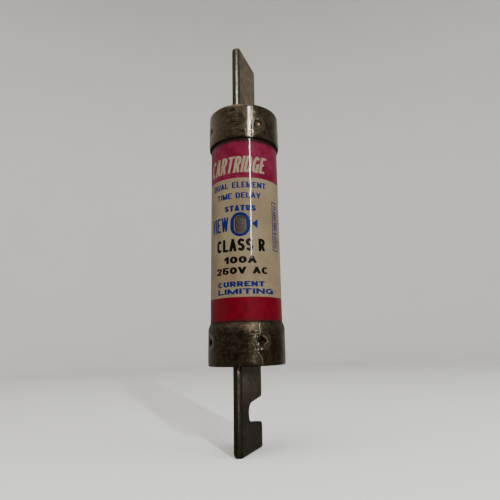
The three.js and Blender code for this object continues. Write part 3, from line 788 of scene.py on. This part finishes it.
def cap_piece(name, side, material, seed, dish_depth, roll_in, seam, shoulder_radius):
    """Drawn cup: rim rolled in on the label, dished pin holes, rounded shoulder and slotted end.

    roll_in: how deep and over what height the rim is rolled. seam: turn, sway and depth.
    """
    bulge = 0.03
    roll_depth, roll_length = roll_in
    seam_turn, sway, seam_depth = seam
    dense = [math.radians(pin_turn(d)) for d in PIN_PLACES.values()]
    turns = spread(0, TAU, 0.024, 0.006, [*dense, math.radians(seam_turn)], 0.13)[:-1]
    heights = spread(CAP_RIM_Z + 0.45, CAP_END_Z - shoulder_radius, 0.35, 0.08, [PIN_Z], 1.8)
    pins = [turn * CAP_RADIUS for turn in dense]
    rng = np.random.default_rng(seed)
    lift = rng.uniform(-0.12, 0.12, len(pins))
    depth = dish_depth * rng.uniform(0.8, 1.15, len(pins))

    def press(angle, height):
        total = np.zeros(np.shape(angle))
        for centre, up, deep in zip(pins, lift, depth):
            aside = wrapped(angle * CAP_RADIUS - centre, CAP_RADIUS)
            away = np.hypot(aside, (height - PIN_Z - up) * 0.92)
            total += deep * smooth(1 - away / 2.5) - 0.02 * np.exp(-(((away - 2.6) / 0.5) ** 2))
        swing = sway * np.sin((height - SWING_Z) * SWING_RATE) * smooth((height - SWING_FOOT_Z) / SWING_FADE)
        stray = swing + SHAKE * np.sin(height * SHAKE_RATE)
        beside = angle * CAP_RADIUS - math.radians(seam_turn) * CAP_RADIUS - stray
        return total + seam_depth * np.exp(-((beside / 0.25) ** 2)) * smooth((41.5 - height) / 2)

    def uneven(angle, height):
        around = polar(13, angle, height)
        return wave(around.reshape(-1, 3), seed, 0.035, 9.0).reshape(np.shape(angle))

    def outer(angle, height):
        above_rim = height - CAP_RIM_Z
        roll = roll_depth * np.clip(1 - above_rim / roll_length, 0, 1) ** 2.2
        swell = bulge * np.exp(-(((above_rim - 2.9) / 1.3) ** 2))
        shoulder = 0.05 * smooth((height - (CAP_END_Z - 1.4)) / 0.5)
        base = CAP_RADIUS - 0.02 - bulge
        radius = base + swell - roll - shoulder - press(angle, height) - uneven(angle, height)
        return np.minimum(radius, CAP_RADIUS)

    def inner(angle, height):
        above_rim = height - CAP_RIM_Z
        grip = 0.02 * np.clip(1 - above_rim / 2.8, 0, 1) ** 1.5
        return CAP_RADIUS - CAP_WALL + 0.02 - grip - press(angle, height)

    def rim_row(share):
        """The rolled lip, from its inner side round to its outer side."""

        def row(angles):
            low = np.full(len(angles), heights[0])
            inside, outside = inner(angles, low), outer(angles, low)
            middle, half = (inside + outside) / 2, (outside - inside) / 2
            a = math.pi * share
            radius = middle - half * math.cos(a)
            around = np.stack([np.sin(angles) * 13, np.cos(angles) * 13, low], axis=-1)
            wobble = wave(around, seed + 5, 0.06, 14)
            z = heights[0] - (heights[0] - CAP_RIM_Z) * math.sin(a) * (1 - np.abs(wobble))
            return polar(radius, angles, z)

        return row

    top = cap_end_rows(CAP_RADIUS - 0.07 - bulge, shoulder_radius)
    bottom = [rim_row(share) for share in (0.14, 0.3, 0.5, 0.7, 0.86)]
    holes = [disc_hole(pin_turn(d), PIN_Z, PIN_RADIUS + 0.12, CAP_RADIUS) for d in PIN_PLACES.values()]
    points, faces = pierced_shell(turns, heights, outer, inner, top, bottom, holes, CAP_RADIUS)
    if side == "lower":
        points = flip(points)
    obj = make_object(name, points, faces, material, 50)
    return place(obj, "case", "cap_metal", side + "_cap")


def pin_piece(name, node, degrees, side, seed, head):
    """Drive pin: a plain shank and a peened head, whose height is its distance from the fuse's axis."""
    rng = np.random.default_rng(seed)
    profile = [(0.0, 6.6), (0.8, 6.6), (PIN_RADIUS, 6.85), (PIN_RADIUS, head - 0.27), (1.0, head - 0.1)]
    profile += [(0.82, head), (0.5, head - 0.1), (0.2, head - 0.17), (0.0, head - 0.19)]
    count = 28
    points = []
    for radius, out in profile:
        for k in range(count):
            a = TAU * k / count
            rough = 1 + (0.05 * rng.uniform(-1, 1) if out > head - 0.2 else 0)
            points.append((out, radius * rough * math.cos(a), radius * math.sin(a)))
    faces = lattice(len(profile), count)
    height = PIN_Z if side == "upper" else -PIN_Z
    turned = turned_about_z(points, degrees) + np.array([0, 0, height])
    return place(make_object(name, turned, faces, PIN_METALS[side], 35), "case", "pin_brass", node)


# ---------------------------------------------------------------- blades
def filleted(corners, steps):
    """Closed outline through corners of (y, z, radius, pieces along the edge that follows)."""
    outline, arcs = [], []
    count = len(corners)
    for i in range(count):
        before, here, after = corners[i - 1], corners[i], corners[(i + 1) % count]
        p0, p1, p2 = (np.array(p[:2], float) for p in (before, here, after))
        d0, d1 = p0 - p1, p2 - p1
        d0 /= np.linalg.norm(d0)
        d1 /= np.linalg.norm(d1)
        half = math.acos(float(np.clip(d0 @ d1, -1, 1))) / 2
        radius = here[2]
        reach = radius / math.tan(half)
        start, end = p1 + d0 * reach, p1 + d1 * reach
        bisector = (d0 + d1) / np.linalg.norm(d0 + d1)
        centre = p1 + bisector * radius / math.sin(half)
        a0 = math.atan2(*(start - centre)[::-1])
        a1 = math.atan2(*(end - centre)[::-1])
        sweep = (a1 - a0 + math.pi) % TAU - math.pi
        angles = [a0 + sweep * t / steps for t in range(steps + 1)]
        arcs.append([centre + radius * np.array([math.cos(a), math.sin(a)]) for a in angles])
    for i in range(count):
        outline.extend(arcs[i])
        pieces = corners[i][3]
        start, end = arcs[i][-1], arcs[(i + 1) % count][0]
        outline.extend(start + (end - start) * t / pieces for t in range(1, pieces))
    return np.array(outline)


def rounded_in(x, half, radius):
    """How far an edge rounded with the radius lies back, at x from the middle of the thickness."""
    share = max(0.0, (x - (half - radius)) / radius)
    return radius * (1 - math.sqrt(max(0.0, 1 - share * share)))


def blade_outline(side_in, tip_in, ease_in, notched):
    """The blade from its tang to its tip, seen square to its faces, with its edges moved inwards.

    A notched blade is turned over later, so its worn corner is on the other side.
    """
    half = BLADE_WIDTH / 2 - side_in
    tip = TIP_Z - tip_in
    foot, tang = BLADE_FOOT_Z + ease_in, TANG_END_Z + ease_in
    tang_half = TANG_HALF - ease_in
    left, right = (0.5, 1.35) if notched else (1.35, 0.5)
    left, right = (max(corner - min(side_in, ease_in), 0.12) for corner in (left, right))
    corners = [
        (-tang_half, tang, 0.3, 6),
        (tang_half, tang, 0.3, 4),
        (tang_half, foot, 0.2, 3),
        (half, foot, 0.2, 26),
        (half, tip, right, 14),
        (-half, tip, left, 12),
    ]
    if notched:
        z = TIP_Z - NOTCH_Z_IN
        inner, mouth = NOTCH_RADIUS + ease_in, NOTCH_MOUTH_HALF + ease_in
        slope = (mouth - inner) / (BLADE_WIDTH / 2 + NOTCH_DEPTH_PAST_MIDDLE - NOTCH_RADIUS)
        bottom = NOTCH_DEPTH_PAST_MIDDLE + ease_in
        at_bottom = inner - slope * NOTCH_RADIUS
        at_mouth = mouth - slope * side_in
        round_ = inner - 0.3
        corners += [
            (-half, z + at_mouth, NOTCH_MOUTH_ROUND, 8),
            (bottom, z + at_bottom, round_, 1),
            (bottom, z - at_bottom, round_, 8),
            (-half, z - at_mouth, NOTCH_MOUTH_ROUND, 8),
        ]
    corners += [(-half, foot, 0.2, 3), (-tang_half, foot, 0.2, 4)]
    return filleted(corners, 10)


def blade_piece(name, side, notched, material, seed, twist, shift):
    """Blade with crowned narrow edges. The twist, in degrees, and the shift are what assembly left in it."""
    crown, ease, tip_ease = 1.0, 0.28, 0.85
    half = BLADE_THICKNESS / 2
    steps = 9
    outlines = []
    for k in range(steps + 1):
        a = k / steps * math.pi / 2
        x = half * math.sin(a)
        ease_in, tip_in = (rounded_in(x, half, radius) for radius in (ease, tip_ease))
        outlines.append((x, blade_outline(crown * (1 - math.cos(a)), tip_in, ease_in, notched)))
    outlines.append((half, blade_outline(crown + 0.2, tip_ease + 0.2, ease + 0.2, notched)))
    count = len(outlines[0][1])
    levels = [(-x, o) for x, o in outlines[:0:-1]] + outlines
    points = np.array([(x, y, z) for x, outline in levels for y, z in outline])
    bend = wave(points * np.array([0, 1, 1]), seed, 0.012, 11.0)
    points[:, 0] += bend * np.clip((np.abs(points[:, 2]) - 48) / 6, 0, 1)
    points[:, 0] = np.clip(points[:, 0], -half, half)
    faces = lattice(len(levels), count)
    faces.append(tuple(range(count - 1, -1, -1)))
    last = (len(levels) - 1) * count
    faces.append(tuple(range(last, last + count)))
    if side == "lower":
        points = flip(points)
    points = turned_about_z(points, twist)
    points[:, 0] += shift * smooth((np.abs(points[:, 2]) - 44) / 3)
    return place(make_object(name, points, faces, material, 42), "case", "blade_metal", side + "_blade")


# ---------------------------------------------------------------- tube, label, window
def round_wall(radius):
    return lambda angle, height: np.full(np.shape(angle), radius)


def window_hole(reference):
    return oval_hole(WINDOW_TURN, WINDOW_Z, WINDOW_WIDTH, WINDOW_HEIGHT, reference)


def dense_at_window(turns, heights, reach, columns, rise, rows):
    """The same turns and heights, with close ones added round the window."""
    close_turns = math.radians(WINDOW_TURN) + np.linspace(-reach, reach, columns)
    close_heights = WINDOW_Z + np.linspace(-rise, rise, rows)
    turns = np.unique(np.concatenate([turns[:-1], close_turns]) % TAU)
    return turns, np.unique(np.concatenate([heights, close_heights]))


def tube_piece():
    pins = [pin_turn(degrees) for degrees in PIN_PLACES.values()]
    turns = spread(0, TAU, 0.026, 0.010, [math.radians(turn) for turn in pins], 0.11)
    heights = spread(-TUBE_HALF, TUBE_HALF, 0.9, 0.12, [-PIN_Z, PIN_Z], 1.5)
    turns, heights = dense_at_window(turns, heights, 0.22, 45, 3.8, 60)
    holes = [disc_hole(turn, z, PIN_RADIUS + 0.2, TUBE_RADIUS) for turn in pins for z in (-PIN_Z, PIN_Z)]
    holes.append(window_hole(TUBE_RADIUS))
    outer, inner = round_wall(TUBE_RADIUS), round_wall(BORE_RADIUS)
    ease = 0.3
    top = [circle_row(TUBE_RADIUS - ease, TUBE_HALF), circle_row(BORE_RADIUS + ease, TUBE_HALF)]
    bottom = [circle_row(BORE_RADIUS + ease, -TUBE_HALF), circle_row(TUBE_RADIUS - ease, -TUBE_HALF)]
    points, faces = pierced_shell(turns, heights, outer, inner, top, bottom, holes, TUBE_RADIUS)
    return place(make_object("laminate_tube", points, faces, LAMINATE, 40), "case", "tube_fibre", "body_tube")


def label_piece():
    lap = math.radians(LAP_TURN)
    turns = spread(0, TAU, 0.020, 0.004, [lap], 0.02)
    heights = spread(-LABEL_HALF, LABEL_HALF, 1.2, 0.1, [], 0)
    turns, heights = dense_at_window(turns, heights, 0.21, 71, 3.7, 90)
    hole = window_hole(LABEL_RADIUS)

    def outer(angle, height):
        curl = 0.03 * np.exp(-np.clip(hole(angle * LABEL_RADIUS, height), 0, None) / 0.25)
        seam = 0.05 * smooth((angle - lap) / 0.012 + 0.5) * smooth((lap + 0.35 - angle) / 0.3)
        return LABEL_RADIUS - 0.045 - curl + seam * 0.8

    inner = round_wall(LABEL_RADIUS - LABEL_WALL)
    points, faces = pierced_shell(turns, heights, outer, inner, [], [], [hole], LABEL_RADIUS)
    label = make_object("printed_label", points, faces, LABEL, 40)
    return place(label, "case", "label_paper", "label_sleeve")


def window_plate(name, inner, outer, shrink, material, slot, node):
    """Oval plate that follows the tube's curve, with a rounded edge."""
    rings, sides = 10, 64
    rounding = 0.08
    half_w = WINDOW_WIDTH / 2 - shrink
    reach = (WINDOW_HEIGHT - WINDOW_WIDTH) / 2
    points = []

    def level(radius, share):
        for k in range(sides):
            a = TAU * k / sides
            s = share * half_w * math.cos(a)
            end = math.copysign(min(1, abs(math.sin(a)) * 40), math.sin(a))
            h = share * (half_w * math.sin(a) + reach * end)
            angle = math.radians(WINDOW_TURN) + s / LABEL_RADIUS
            points.append((radius * math.sin(angle), -radius * math.cos(angle), h + WINDOW_Z))

    shares = [1 - k / rings for k in range(rings)]
    for share in reversed(shares):
        level(inner, share)
    level(outer - rounding, 1.0)
    for share in shares:
        level(outer - rounding * share**8, share)
    faces = lattice(2 * rings + 1, sides)
    faces.append(tuple(range(sides)))
    faces.append(tuple(range(2 * rings * sides, (2 * rings + 1) * sides)))
    return place(make_object(name, points, faces, material, 60), "case", slot, node)


# ---------------------------------------------------------------- printing
PRINT_TOP = LABEL_RADIUS - 0.025
PRINT_BASE = LABEL_RADIUS - 0.065
CORNER = math.radians(40)  # strokes that turn by more than this meet in a sharp corner
SPACE = 1.05  # between words, as a share of the pitch


def bow(centre_x, centre_y, radius_x, radius_y, start, end):
    """Points along part of an ellipse, from a start to an end angle in degrees."""
    pieces = max(2, round(abs(end - start) / 13))
    angles = [math.radians(start + (end - start) * k / pieces) for k in range(pieces + 1)]
    return [(centre_x + radius_x * math.cos(a), centre_y + radius_y * math.sin(a)) for a in angles]


# Each sign's middle lines in a unit square, after the share of the pitch that it spans.
SIGNS = {
    "A": (1.05, [[(0, 0), (0.5, 1), (1, 0)], [(0.2, 0.3), (0.8, 0.3)]]),
    "C": (1.0, [bow(0.5, 0.5, 0.5, 0.5, 42, 318)]),
    "D": (1.0, [[(0.45, 0), (0, 0), (0, 1), (0.45, 1), *bow(0.45, 0.5, 0.55, 0.5, 90, -90)]]),
    "E": (0.85, [[(1, 0), (0, 0), (0, 1), (1, 1)], [(0, 0.52), (0.9, 0.52)]]),
    "G": (1.05, [bow(0.5, 0.5, 0.5, 0.5, 42, 345), [(0.55, 0.42), (1, 0.42), (1, 0)]]),
    "I": (0.0, [[(0.5, 0), (0.5, 1)]]),
    "L": (0.8, [[(0, 1), (0, 0), (1, 0)]]),
    "M": (1.3, [[(0, 0), (0, 1), (0.5, 0), (1, 1), (1, 0)]]),
    "N": (1.0, [[(0, 0), (0, 1), (1, 0), (1, 1)]]),
    "R": (
        0.95,
        [[(0, 0), (0, 1), (0.5, 1), *bow(0.5, 0.74, 0.5, 0.26, 90, -90), (0, 0.48)], [(0.5, 0.48), (1, 0)]],
    ),
    "S": (0.95, [[*bow(0.5, 0.75, 0.5, 0.25, 25, 270), *bow(0.5, 0.25, 0.5, 0.25, 90, -155)]]),
    "T": (0.95, [[(0, 1), (1, 1)], [(0.5, 1), (0.5, 0)]]),
    "U": (1.0, [[(0, 1), (0, 0.36), *bow(0.5, 0.36, 0.5, 0.36, 180, 360), (1, 1)]]),
    "V": (1.05, [[(0, 1), (0.5, 0), (1, 1)]]),
    "W": (1.75, [[(0, 1), (0.25, 0), (0.5, 1), (0.75, 0), (1, 1)]]),
    "Y": (1.0, [[(0, 1), (0.5, 0.45), (1, 1)], [(0.5, 0.45), (0.5, 0)]]),
    "0": (0.9, [bow(0.5, 0.5, 0.5, 0.5, 0, 360)]),
    "1": (0.45, [[(0, 0.74), (1, 1), (1, 0)]]),
    "2": (0.9, [[*bow(0.5, 0.7, 0.5, 0.3, 170, -35), (0, 0), (1, 0)]]),
    "5": (0.9, [[(0.95, 1), (0.12, 1), (0.03, 0.46), *bow(0.48, 0.29, 0.52, 0.29, 118, -158)]]),
}


def stroke_distance(x, y, line, weight, width, height):
    """Distance to a bent stroke of even weight, less than 0 inside it."""
    line = [line[0]] + [b for a, b in zip(line, line[1:]) if math.dist(a, b) > 1e-6]
    half = weight / 2
    points = [np.array([half + u * (width - weight), half + v * (height - weight)]) for u, v in line]
    best = np.full(x.shape, 1e9)
    directions = [(b - a) / max(np.linalg.norm(b - a), 1e-9) for a, b in zip(points, points[1:])]

    def reach(index, first, second):
        if first is not None and second is not None and first @ second > math.cos(CORNER):
            return 0
        on_border = min(line[index][0], 1 - line[index][0], line[index][1], 1 - line[index][1]) < 1e-6
        return weight if on_border else 0

    for k, (a, b) in enumerate(zip(points, points[1:])):
        d = directions[k]
        before = directions[k - 1] if k else None
        after = directions[k + 1] if k + 1 < len(directions) else None
        start, end = -reach(k, before, d), np.linalg.norm(b - a) + reach(k + 1, d, after)
        along = (x - a[0]) * d[0] + (y - a[1]) * d[1]
        across = np.abs((y - a[1]) * d[0] - (x - a[0]) * d[1])
        best = np.minimum(best, np.maximum(across - half, np.maximum(start - along, along - end)))
        if after is not None:
            best = np.minimum(best, np.hypot(x - b[0], y - b[1]) - half)
    return best


def trace(x, y, value):
    """Flat faces that cover what is below 0 on a grid, with clean edges between the grid's points."""
    points, faces, known = [], [], {}

    def corner(i, j):
        if (i, j) not in known:
            known[i, j] = len(points)
            points.append((x[i, j], y[i, j]))
        return known[i, j]

    def crossing(i, j, k, m):
        key = (min((i, j), (k, m)), max((i, j), (k, m)))
        if key not in known:
            (i, j), (k, m) = key
            share = value[i, j] / (value[i, j] - value[k, m])
            known[key] = len(points)
            points.append((x[i, j] + share * (x[k, m] - x[i, j]), y[i, j] + share * (y[k, m] - y[i, j])))
        return known[key]

    inside = value < 0
    some = inside[:-1, :-1] | inside[1:, :-1] | inside[:-1, 1:] | inside[1:, 1:]
    for i, j in zip(*np.nonzero(some)):
        ring = [(i, j), (i, j + 1), (i + 1, j + 1), (i + 1, j)]
        face = []
        for here, following in zip(ring, ring[1:] + ring[:1]):
            if inside[here]:
                face.append(corner(*here))
            if inside[here] != inside[following]:
                face.append(crossing(*here, *following))
        if len(face) > 2:
            faces.append(face)
    return points, faces


def print_object(name, flat_points, flat_faces, material):
    """Flat print, in millimetres round the label and up it, becomes a thin layer of ink."""
    count = len(flat_points)
    edges = {}
    for face in flat_faces:
        for a, b in zip(face, face[1:] + face[:1]):
            edges[a, b] = edges.get((a, b), 0) + 1
    points, faces = [], []
    for radius in (PRINT_TOP, PRINT_BASE):
        for x, y in flat_points:
            angle = math.radians(VIEW_TURN) + x / LABEL_RADIUS
            points.append((radius * math.sin(angle), -radius * math.cos(angle), y))
    faces += [tuple(face) for face in flat_faces]
    faces += [tuple(count + v for v in reversed(face)) for face in flat_faces]
    faces += [(b, a, count + a, count + b) for a, b in edges if (b, a) not in edges]
    mesh = bpy.data.meshes.new(name)
    mesh.from_pydata([tuple(c * MM for c in p) for p in points], [], faces)
    mesh.validate()
    mesh.materials.append(material)
    obj = bpy.data.objects.new(name, mesh)
    bpy.context.scene.collection.objects.link(obj)
    return place(obj, "case", "label_paper")


def grid(left, right, low, high, cell):
    columns = np.arange(left - 1.5 * cell, right + 2.5 * cell, cell)
    rows = np.arange(low - 1.5 * cell, high + 2.5 * cell, cell)
    return np.meshgrid(columns, rows)


def laid_out(text, left, right, low, high, weight, slope, cell, gap, flat):
    """A line of plain capitals that fills a box. Level strokes are thinner than upright ones by flat."""
    height = high - low
    room = right - left - slope * height
    letters = [c for c in text if c != " "]
    spaces = text.count(" ")
    gaps = (len(text) - 1 - spaces) * gap * weight
    shares = sum(SIGNS[c][0] for c in letters) + SPACE * spaces
    pitch = (room - gaps - len(letters) * weight) / shares
    points, faces = [], []
    start = 0.0
    for letter in text:
        if letter == " ":
            start += SPACE * pitch
            continue
        share, lines = SIGNS[letter]
        width = weight + share * pitch
        tall = height / flat
        x, y = grid(0, width, 0, tall, cell)
        value = np.min([stroke_distance(x, y, line, weight, width, tall) for line in lines], axis=0)
        border = box_distance(x, y, 0, width, 0, tall)
        here, cells = trace(x, y, np.maximum(value, border))
        faces += [[len(points) + v for v in face] for face in cells]
        points += [(left + start + px + slope * flat * py, low + flat * py) for px, py in here]
        start += width + gap * weight
    return points, faces


def lettering(name, text, left, right, low, high, weight, material, flat, slope=0.0, gap=0.35):
    """A line of lettering in a box on the unrolled label."""
    points, faces = laid_out(text, left, right, low, high, weight, slope, 0.11, gap, flat)
    return print_object(name, points, faces, material)


def upright_line(name, text, left, right, low, high, weight, material, cell):
    """The same, but read from the label's foot to its head."""
    points, faces = laid_out(text, 0, high - low, 0, right - left, weight, 0.12, cell, 0.5, 0.8)
    return print_object(name, [(right - py, low + px) for px, py in points], faces, material)


def oval_distance(x, y, centre_x, centre_y, width, height):
    reach = (height - width) / 2
    return np.hypot(x - centre_x, np.maximum(np.abs(y - centre_y) - reach, 0)) - width / 2


def box_distance(x, y, left, right, low, high):
    return np.maximum.reduce([left - x, x - right, low - y, y - high])


# Name, text, left, right, low, high, stroke, ink and how much thinner level strokes are.
WORDS = [
    ("print_heading", "CARTRIDGE", -15.4, 8.8, 19.65, 25.9, 0.98, INK_CREAM, 0.8, 0.2, 0.3),
    ("print_dual_element", "DUAL ELEMENT", -13.3, 8.1, 13.83, 16.02, 0.58, INK_BLUE, 0.62),
    ("print_time_delay", "TIME DELAY", -11.2, 5.8, 9.9, 12.0, 0.58, INK_BLUE, 0.62),
    ("print_status", "STATUS", -7.6, 3.9, 5.17, 7.32, 0.80, INK_BLUE, 0.62),
    ("print_view", "VIEW", -14.6, -6.1, -1.85, 3.33, 0.74, INK_BLUE, 0.8),
    ("print_class", "CLASS R", -11.4, 7.1, -9.15, -4.77, 1.08, INK_BLACK, 0.72),
    ("print_current", "100A", -7.9, 3.8, -13.37, -10.98, 1.08, INK_BLACK, 0.46),
    ("print_voltage", "250V AC", -11.5, 8.3, -17.0, -14.66, 1.02, INK_BLACK, 0.45),
    ("print_note_upper", "CURRENT", -10.8, 6.6, -21.33, -19.5, 0.85, INK_BLUE, 0.52),
    ("print_note_lower", "LIMITING", -10.8, 10.3, -23.8, -21.95, 0.85, INK_BLUE, 0.52),
]


def print_label():
    for words in WORDS:
        lettering(*words)
    middle = math.radians(WINDOW_TURN - VIEW_TURN) * LABEL_RADIUS
    x, y = grid(middle - 4, middle + 4, -4.4, 5.0, 0.1)
    outer = oval_distance(x, y, middle, 0.35, 7.1, 8.7)
    inner = oval_distance(x, y, middle, WINDOW_Z, WINDOW_WIDTH + 0.12, WINDOW_HEIGHT + 0.12)
    print_object("print_window_ring", *trace(x, y, np.maximum(outer, -inner)), INK_BLUE)
    x, y = grid(2.0, 5.0, -1.5, 2.6, 0.1)
    tip = np.maximum(np.abs(y - 0.55) - 0.75 * (x - 2.2), x - 4.4)
    print_object("print_pointer", *trace(x, y, tip), INK_BLUE)
    x, y = grid(10.9, 14.5, -8.5, 9.9, 0.1)
    frame_out = box_distance(x, y, 10.95, 14.4, -8.4, 9.85)
    frame_in = box_distance(x, y, 11.32, 14.05, -8.05, 9.5)
    print_object("print_side_box", *trace(x, y, np.maximum(frame_out, -frame_in)), INK_BLUE)
    upright_line("print_side_note", "CLASS R 100A 250V AC", 11.8, 13.5, -7.3, 8.8, 0.36, INK_BLUE, 0.08)


# ---------------------------------------------------------------- trigger spring
def spring_piece():
    """Coil spring with closed end turns."""
    low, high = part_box("trigger_spring")
    bottom, top = low.z / MM, high.z / MM
    wire, radius, turns = 0.45, 3.9, 5
    end_pitch = 0.98
    start, end = bottom + wire, top - wire
    open_pitch = (end - start - 2 * end_pitch) / (turns - 2)
    steps, sides = 48 * turns, 14
    centres = []
    for k in range(steps + 1):
        turn = turns * k / steps
        middle = min(max(turn - 1, 0), turns - 2)
        z = start + end_pitch * (turn - middle) + open_pitch * middle
        a = TAU * turn
        centres.append(np.array([radius * math.cos(a), radius * math.sin(a), z]))
    points = []
    for k, centre in enumerate(centres):
        before, after = centres[max(k - 1, 0)], centres[min(k + 1, steps)]
        along = (after - before) / np.linalg.norm(after - before)
        out = np.array([centre[0], centre[1], 0]) / radius
        up = np.cross(along, out)
        up /= np.linalg.norm(up)
        out = np.cross(up, along)
        for n in range(sides):
            a = TAU * n / sides
            points.append(centre + wire * (math.cos(a) * out + math.sin(a) * up))
    faces = lattice(steps + 1, sides)
    faces.append(tuple(range(sides)))
    faces.append(tuple(range(steps * sides, (steps + 1) * sides)))
    obj = make_object("trigger_coil", points, faces, WIRE_STEEL, 50)
    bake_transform(obj)
    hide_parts("trigger_spring")
    return obj


# ---------------------------------------------------------------- build
cap_piece("cap_upper", "upper", UPPER_CAP, 11, 0.17, (0.32, 1.1), (33.6, 0.12, 0.12), 0.9)
cap_piece("cap_lower", "lower", LOWER_CAP, 23, 0.46, (0.56, 2.9), (40.0, 0.8, 0.0), 0.6)
for side in ("upper", "lower"):
    for number, (spot, degrees) in enumerate(PIN_PLACES.items()):
        seed, head = (40 + number, 13.1) if side == "upper" else (50 + number, 12.45)
        pin_piece(f"drive_pin_{side}_{spot}", f"{side}_pin_{spot}", degrees, side, seed, head)
blade_piece("blade_plain", "upper", False, UPPER_BLADE, 31, 0.95, 0.28)
blade_piece("blade_notched", "lower", True, LOWER_BLADE, 37, -1.27, 0.17)
tube_piece()
label_piece()
window_plate("window_film", 12.22, 12.5, 0.12, FILM, "clear_film", "indicator_lens")
window_plate("window_pad", 9.97, 12.06, 0.12, PAD, "indicator_coat", "indicator_pad")
print_label()
spring_piece()

INNER = {
    BLOCK_BRASS: ["upper_end_block", "lower_end_block"],
    RED_FIBRE: [
        "upper_sealing_washer",
        "lower_sealing_washer",
        "upper_barrier_disc",
        "lower_barrier_disc",
        "upper_fill_plug",
        "spring_seat_washer",
        "stop_washer",
    ],
    GREY_FIBRE: ["chamber_liner"],
    SAND: ["upper_sand_filler", "lower_sand_filler"],
    LINK_COPPER: [
        "upper_link_strip_right",
        "upper_link_strip_left",
        "lower_link_strip_right",
        "lower_link_strip_left",
        "heat_absorber",
        "trigger_plunger",
        "contact_sleeve",
    ],
    TIN: ["solder_ring"],
    WIRE_STEEL: ["indicator_wire"],
}
for material, names in INNER.items():
    for node in names:
        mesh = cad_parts[node].data
        mesh.materials.clear()
        mesh.materials.append(material)


# ---------------------------------------------------------------- studio
def studio():
    """A pale bowl: flat floor under the fuse's tip, which curves up into a wall all round."""
    floor_z = cad_low.z / MM
    profile = [(0.0, floor_z)]
    flat, curve, top = 700.0, 500.0, 1500.0
    for k in range(1, 9):
        profile.append((flat * k / 8, floor_z))
    for k in range(1, 25):
        a = k / 24 * math.pi / 2
        profile.append((flat + curve * math.sin(a), floor_z + curve * (1 - math.cos(a))))
    profile.append((flat + curve, floor_z + top))
    count = 96
    angles = [TAU * k / count for k in range(count)]
    points = [(radius * math.cos(a), radius * math.sin(a), z) for radius, z in profile for a in angles]
    bowl = make_object("studio_bowl", points, lattice(len(profile), count), floor_paint(), 80)
    bowl.visible_glossy = False


def area_light(name, position, target, size_x, size_y, power, color=(1, 1, 1)):
    data = bpy.data.lights.new(name, "AREA")
    data.shape = "RECTANGLE"
    data.size, data.size_y = size_x, size_y
    data.energy = power
    data.color = color
    light = bpy.data.objects.new(name, data)
    bpy.context.scene.collection.objects.link(light)
    position, target = Vector(position), Vector(target)
    light.location = position
    light.rotation_euler = (target - position).to_track_quat("-Z", "Y").to_euler()
    return light


def lights():
    area_light("overhead_soft", (-0.12, -0.46, 0.95), (0, 0, 0), 0.8, 0.8, 7.0, (1.0, 0.98, 0.95))
    left = area_light("left_soft", (-0.75, -0.35, 0.35), (0, 0, 0), 0.6, 0.8, 1.0, (1.0, 0.97, 0.93))
    right = area_light("right_soft", (0.7, -0.1, 0.4), (0, 0, 0), 0.5, 0.8, 2.6, (0.97, 0.98, 1.0))
    left.visible_glossy = False
    right.visible_glossy = False
    area_light("slit", (0.3732, -0.442, 0.242), (0.006, -0.011, 0.010), 0.022, 0.256, 4.2, (0.97, 0.99, 1.0))


# Axis (0 for X, 1 for Y, 2 for Z), the directions where a rise starts and ends, and its strengths there.
SKY_RISES = [(2, -0.3, 0.9, 0.05, 0.34), (0, -0.95, -0.45, 0.22, 0.0), (1, 0.6, 0.98, 0.0, 0.26)]


def sky():
    """What glossy surfaces see round them: dim at eye level, brighter above and to the left."""
    world = bpy.data.worlds.new("pale_sky")
    world.use_nodes = True
    tree = world.node_tree

    def add(kind, **properties):
        node = tree.nodes.new(kind)
        for key, value in properties.items():
            setattr(node, key, value)
        return node

    coordinates = add("ShaderNodeTexCoord")
    split = add("ShaderNodeSeparateXYZ")
    tree.links.new(coordinates.outputs["Generated"], split.inputs[0])
    total = None
    for axis, low, high, start, end in SKY_RISES:
        rise = add("ShaderNodeMapRange", interpolation_type="SMOOTHSTEP")
        tree.links.new(split.outputs[axis], rise.inputs[0])
        for socket, value in zip(rise.inputs[1:5], (low, high, start, end)):
            socket.default_value = value
        if total is None:
            total = rise.outputs[0]
            continue
        joined = add("ShaderNodeMath", operation="ADD")
        tree.links.new(total, joined.inputs[0])
        tree.links.new(rise.outputs[0], joined.inputs[1])
        total = joined.outputs[0]
    background = tree.nodes["Background"]
    background.inputs["Color"].default_value = (1.0, 0.98, 0.93, 1)
    tree.links.new(total, background.inputs["Strength"])
    bpy.context.scene.world = world


EYE_PLACE = Vector((0.057762, -0.147932, -0.041441))  # metres
EYE_RIGHT = Vector((0.94869, 0.31490, -0.02875))
EYE_FORWARD = Vector((-0.29738, 0.91941, 0.25742))
EYE_SHIFT = (-0.0410, -0.0374)
LENS = 31.55  # millimetres, on a sensor 36 wide


def camera():
    data = bpy.data.cameras.new("view_camera")
    data.lens = LENS
    data.sensor_width = 36
    data.shift_x, data.shift_y = EYE_SHIFT
    data.dof.use_dof = False
    data.clip_start, data.clip_end = 0.005, 10
    eye = bpy.data.objects.new("view_camera", data)
    bpy.context.scene.collection.objects.link(eye)
    up = EYE_RIGHT.cross(EYE_FORWARD).normalized()
    forward = up.cross(EYE_RIGHT).normalized()
    turn = Matrix((EYE_RIGHT, up, -forward)).transposed().to_4x4()
    eye.matrix_world = Matrix.Translation(EYE_PLACE) @ turn
    bpy.context.scene.camera = eye


studio()
lights()
sky()
camera()
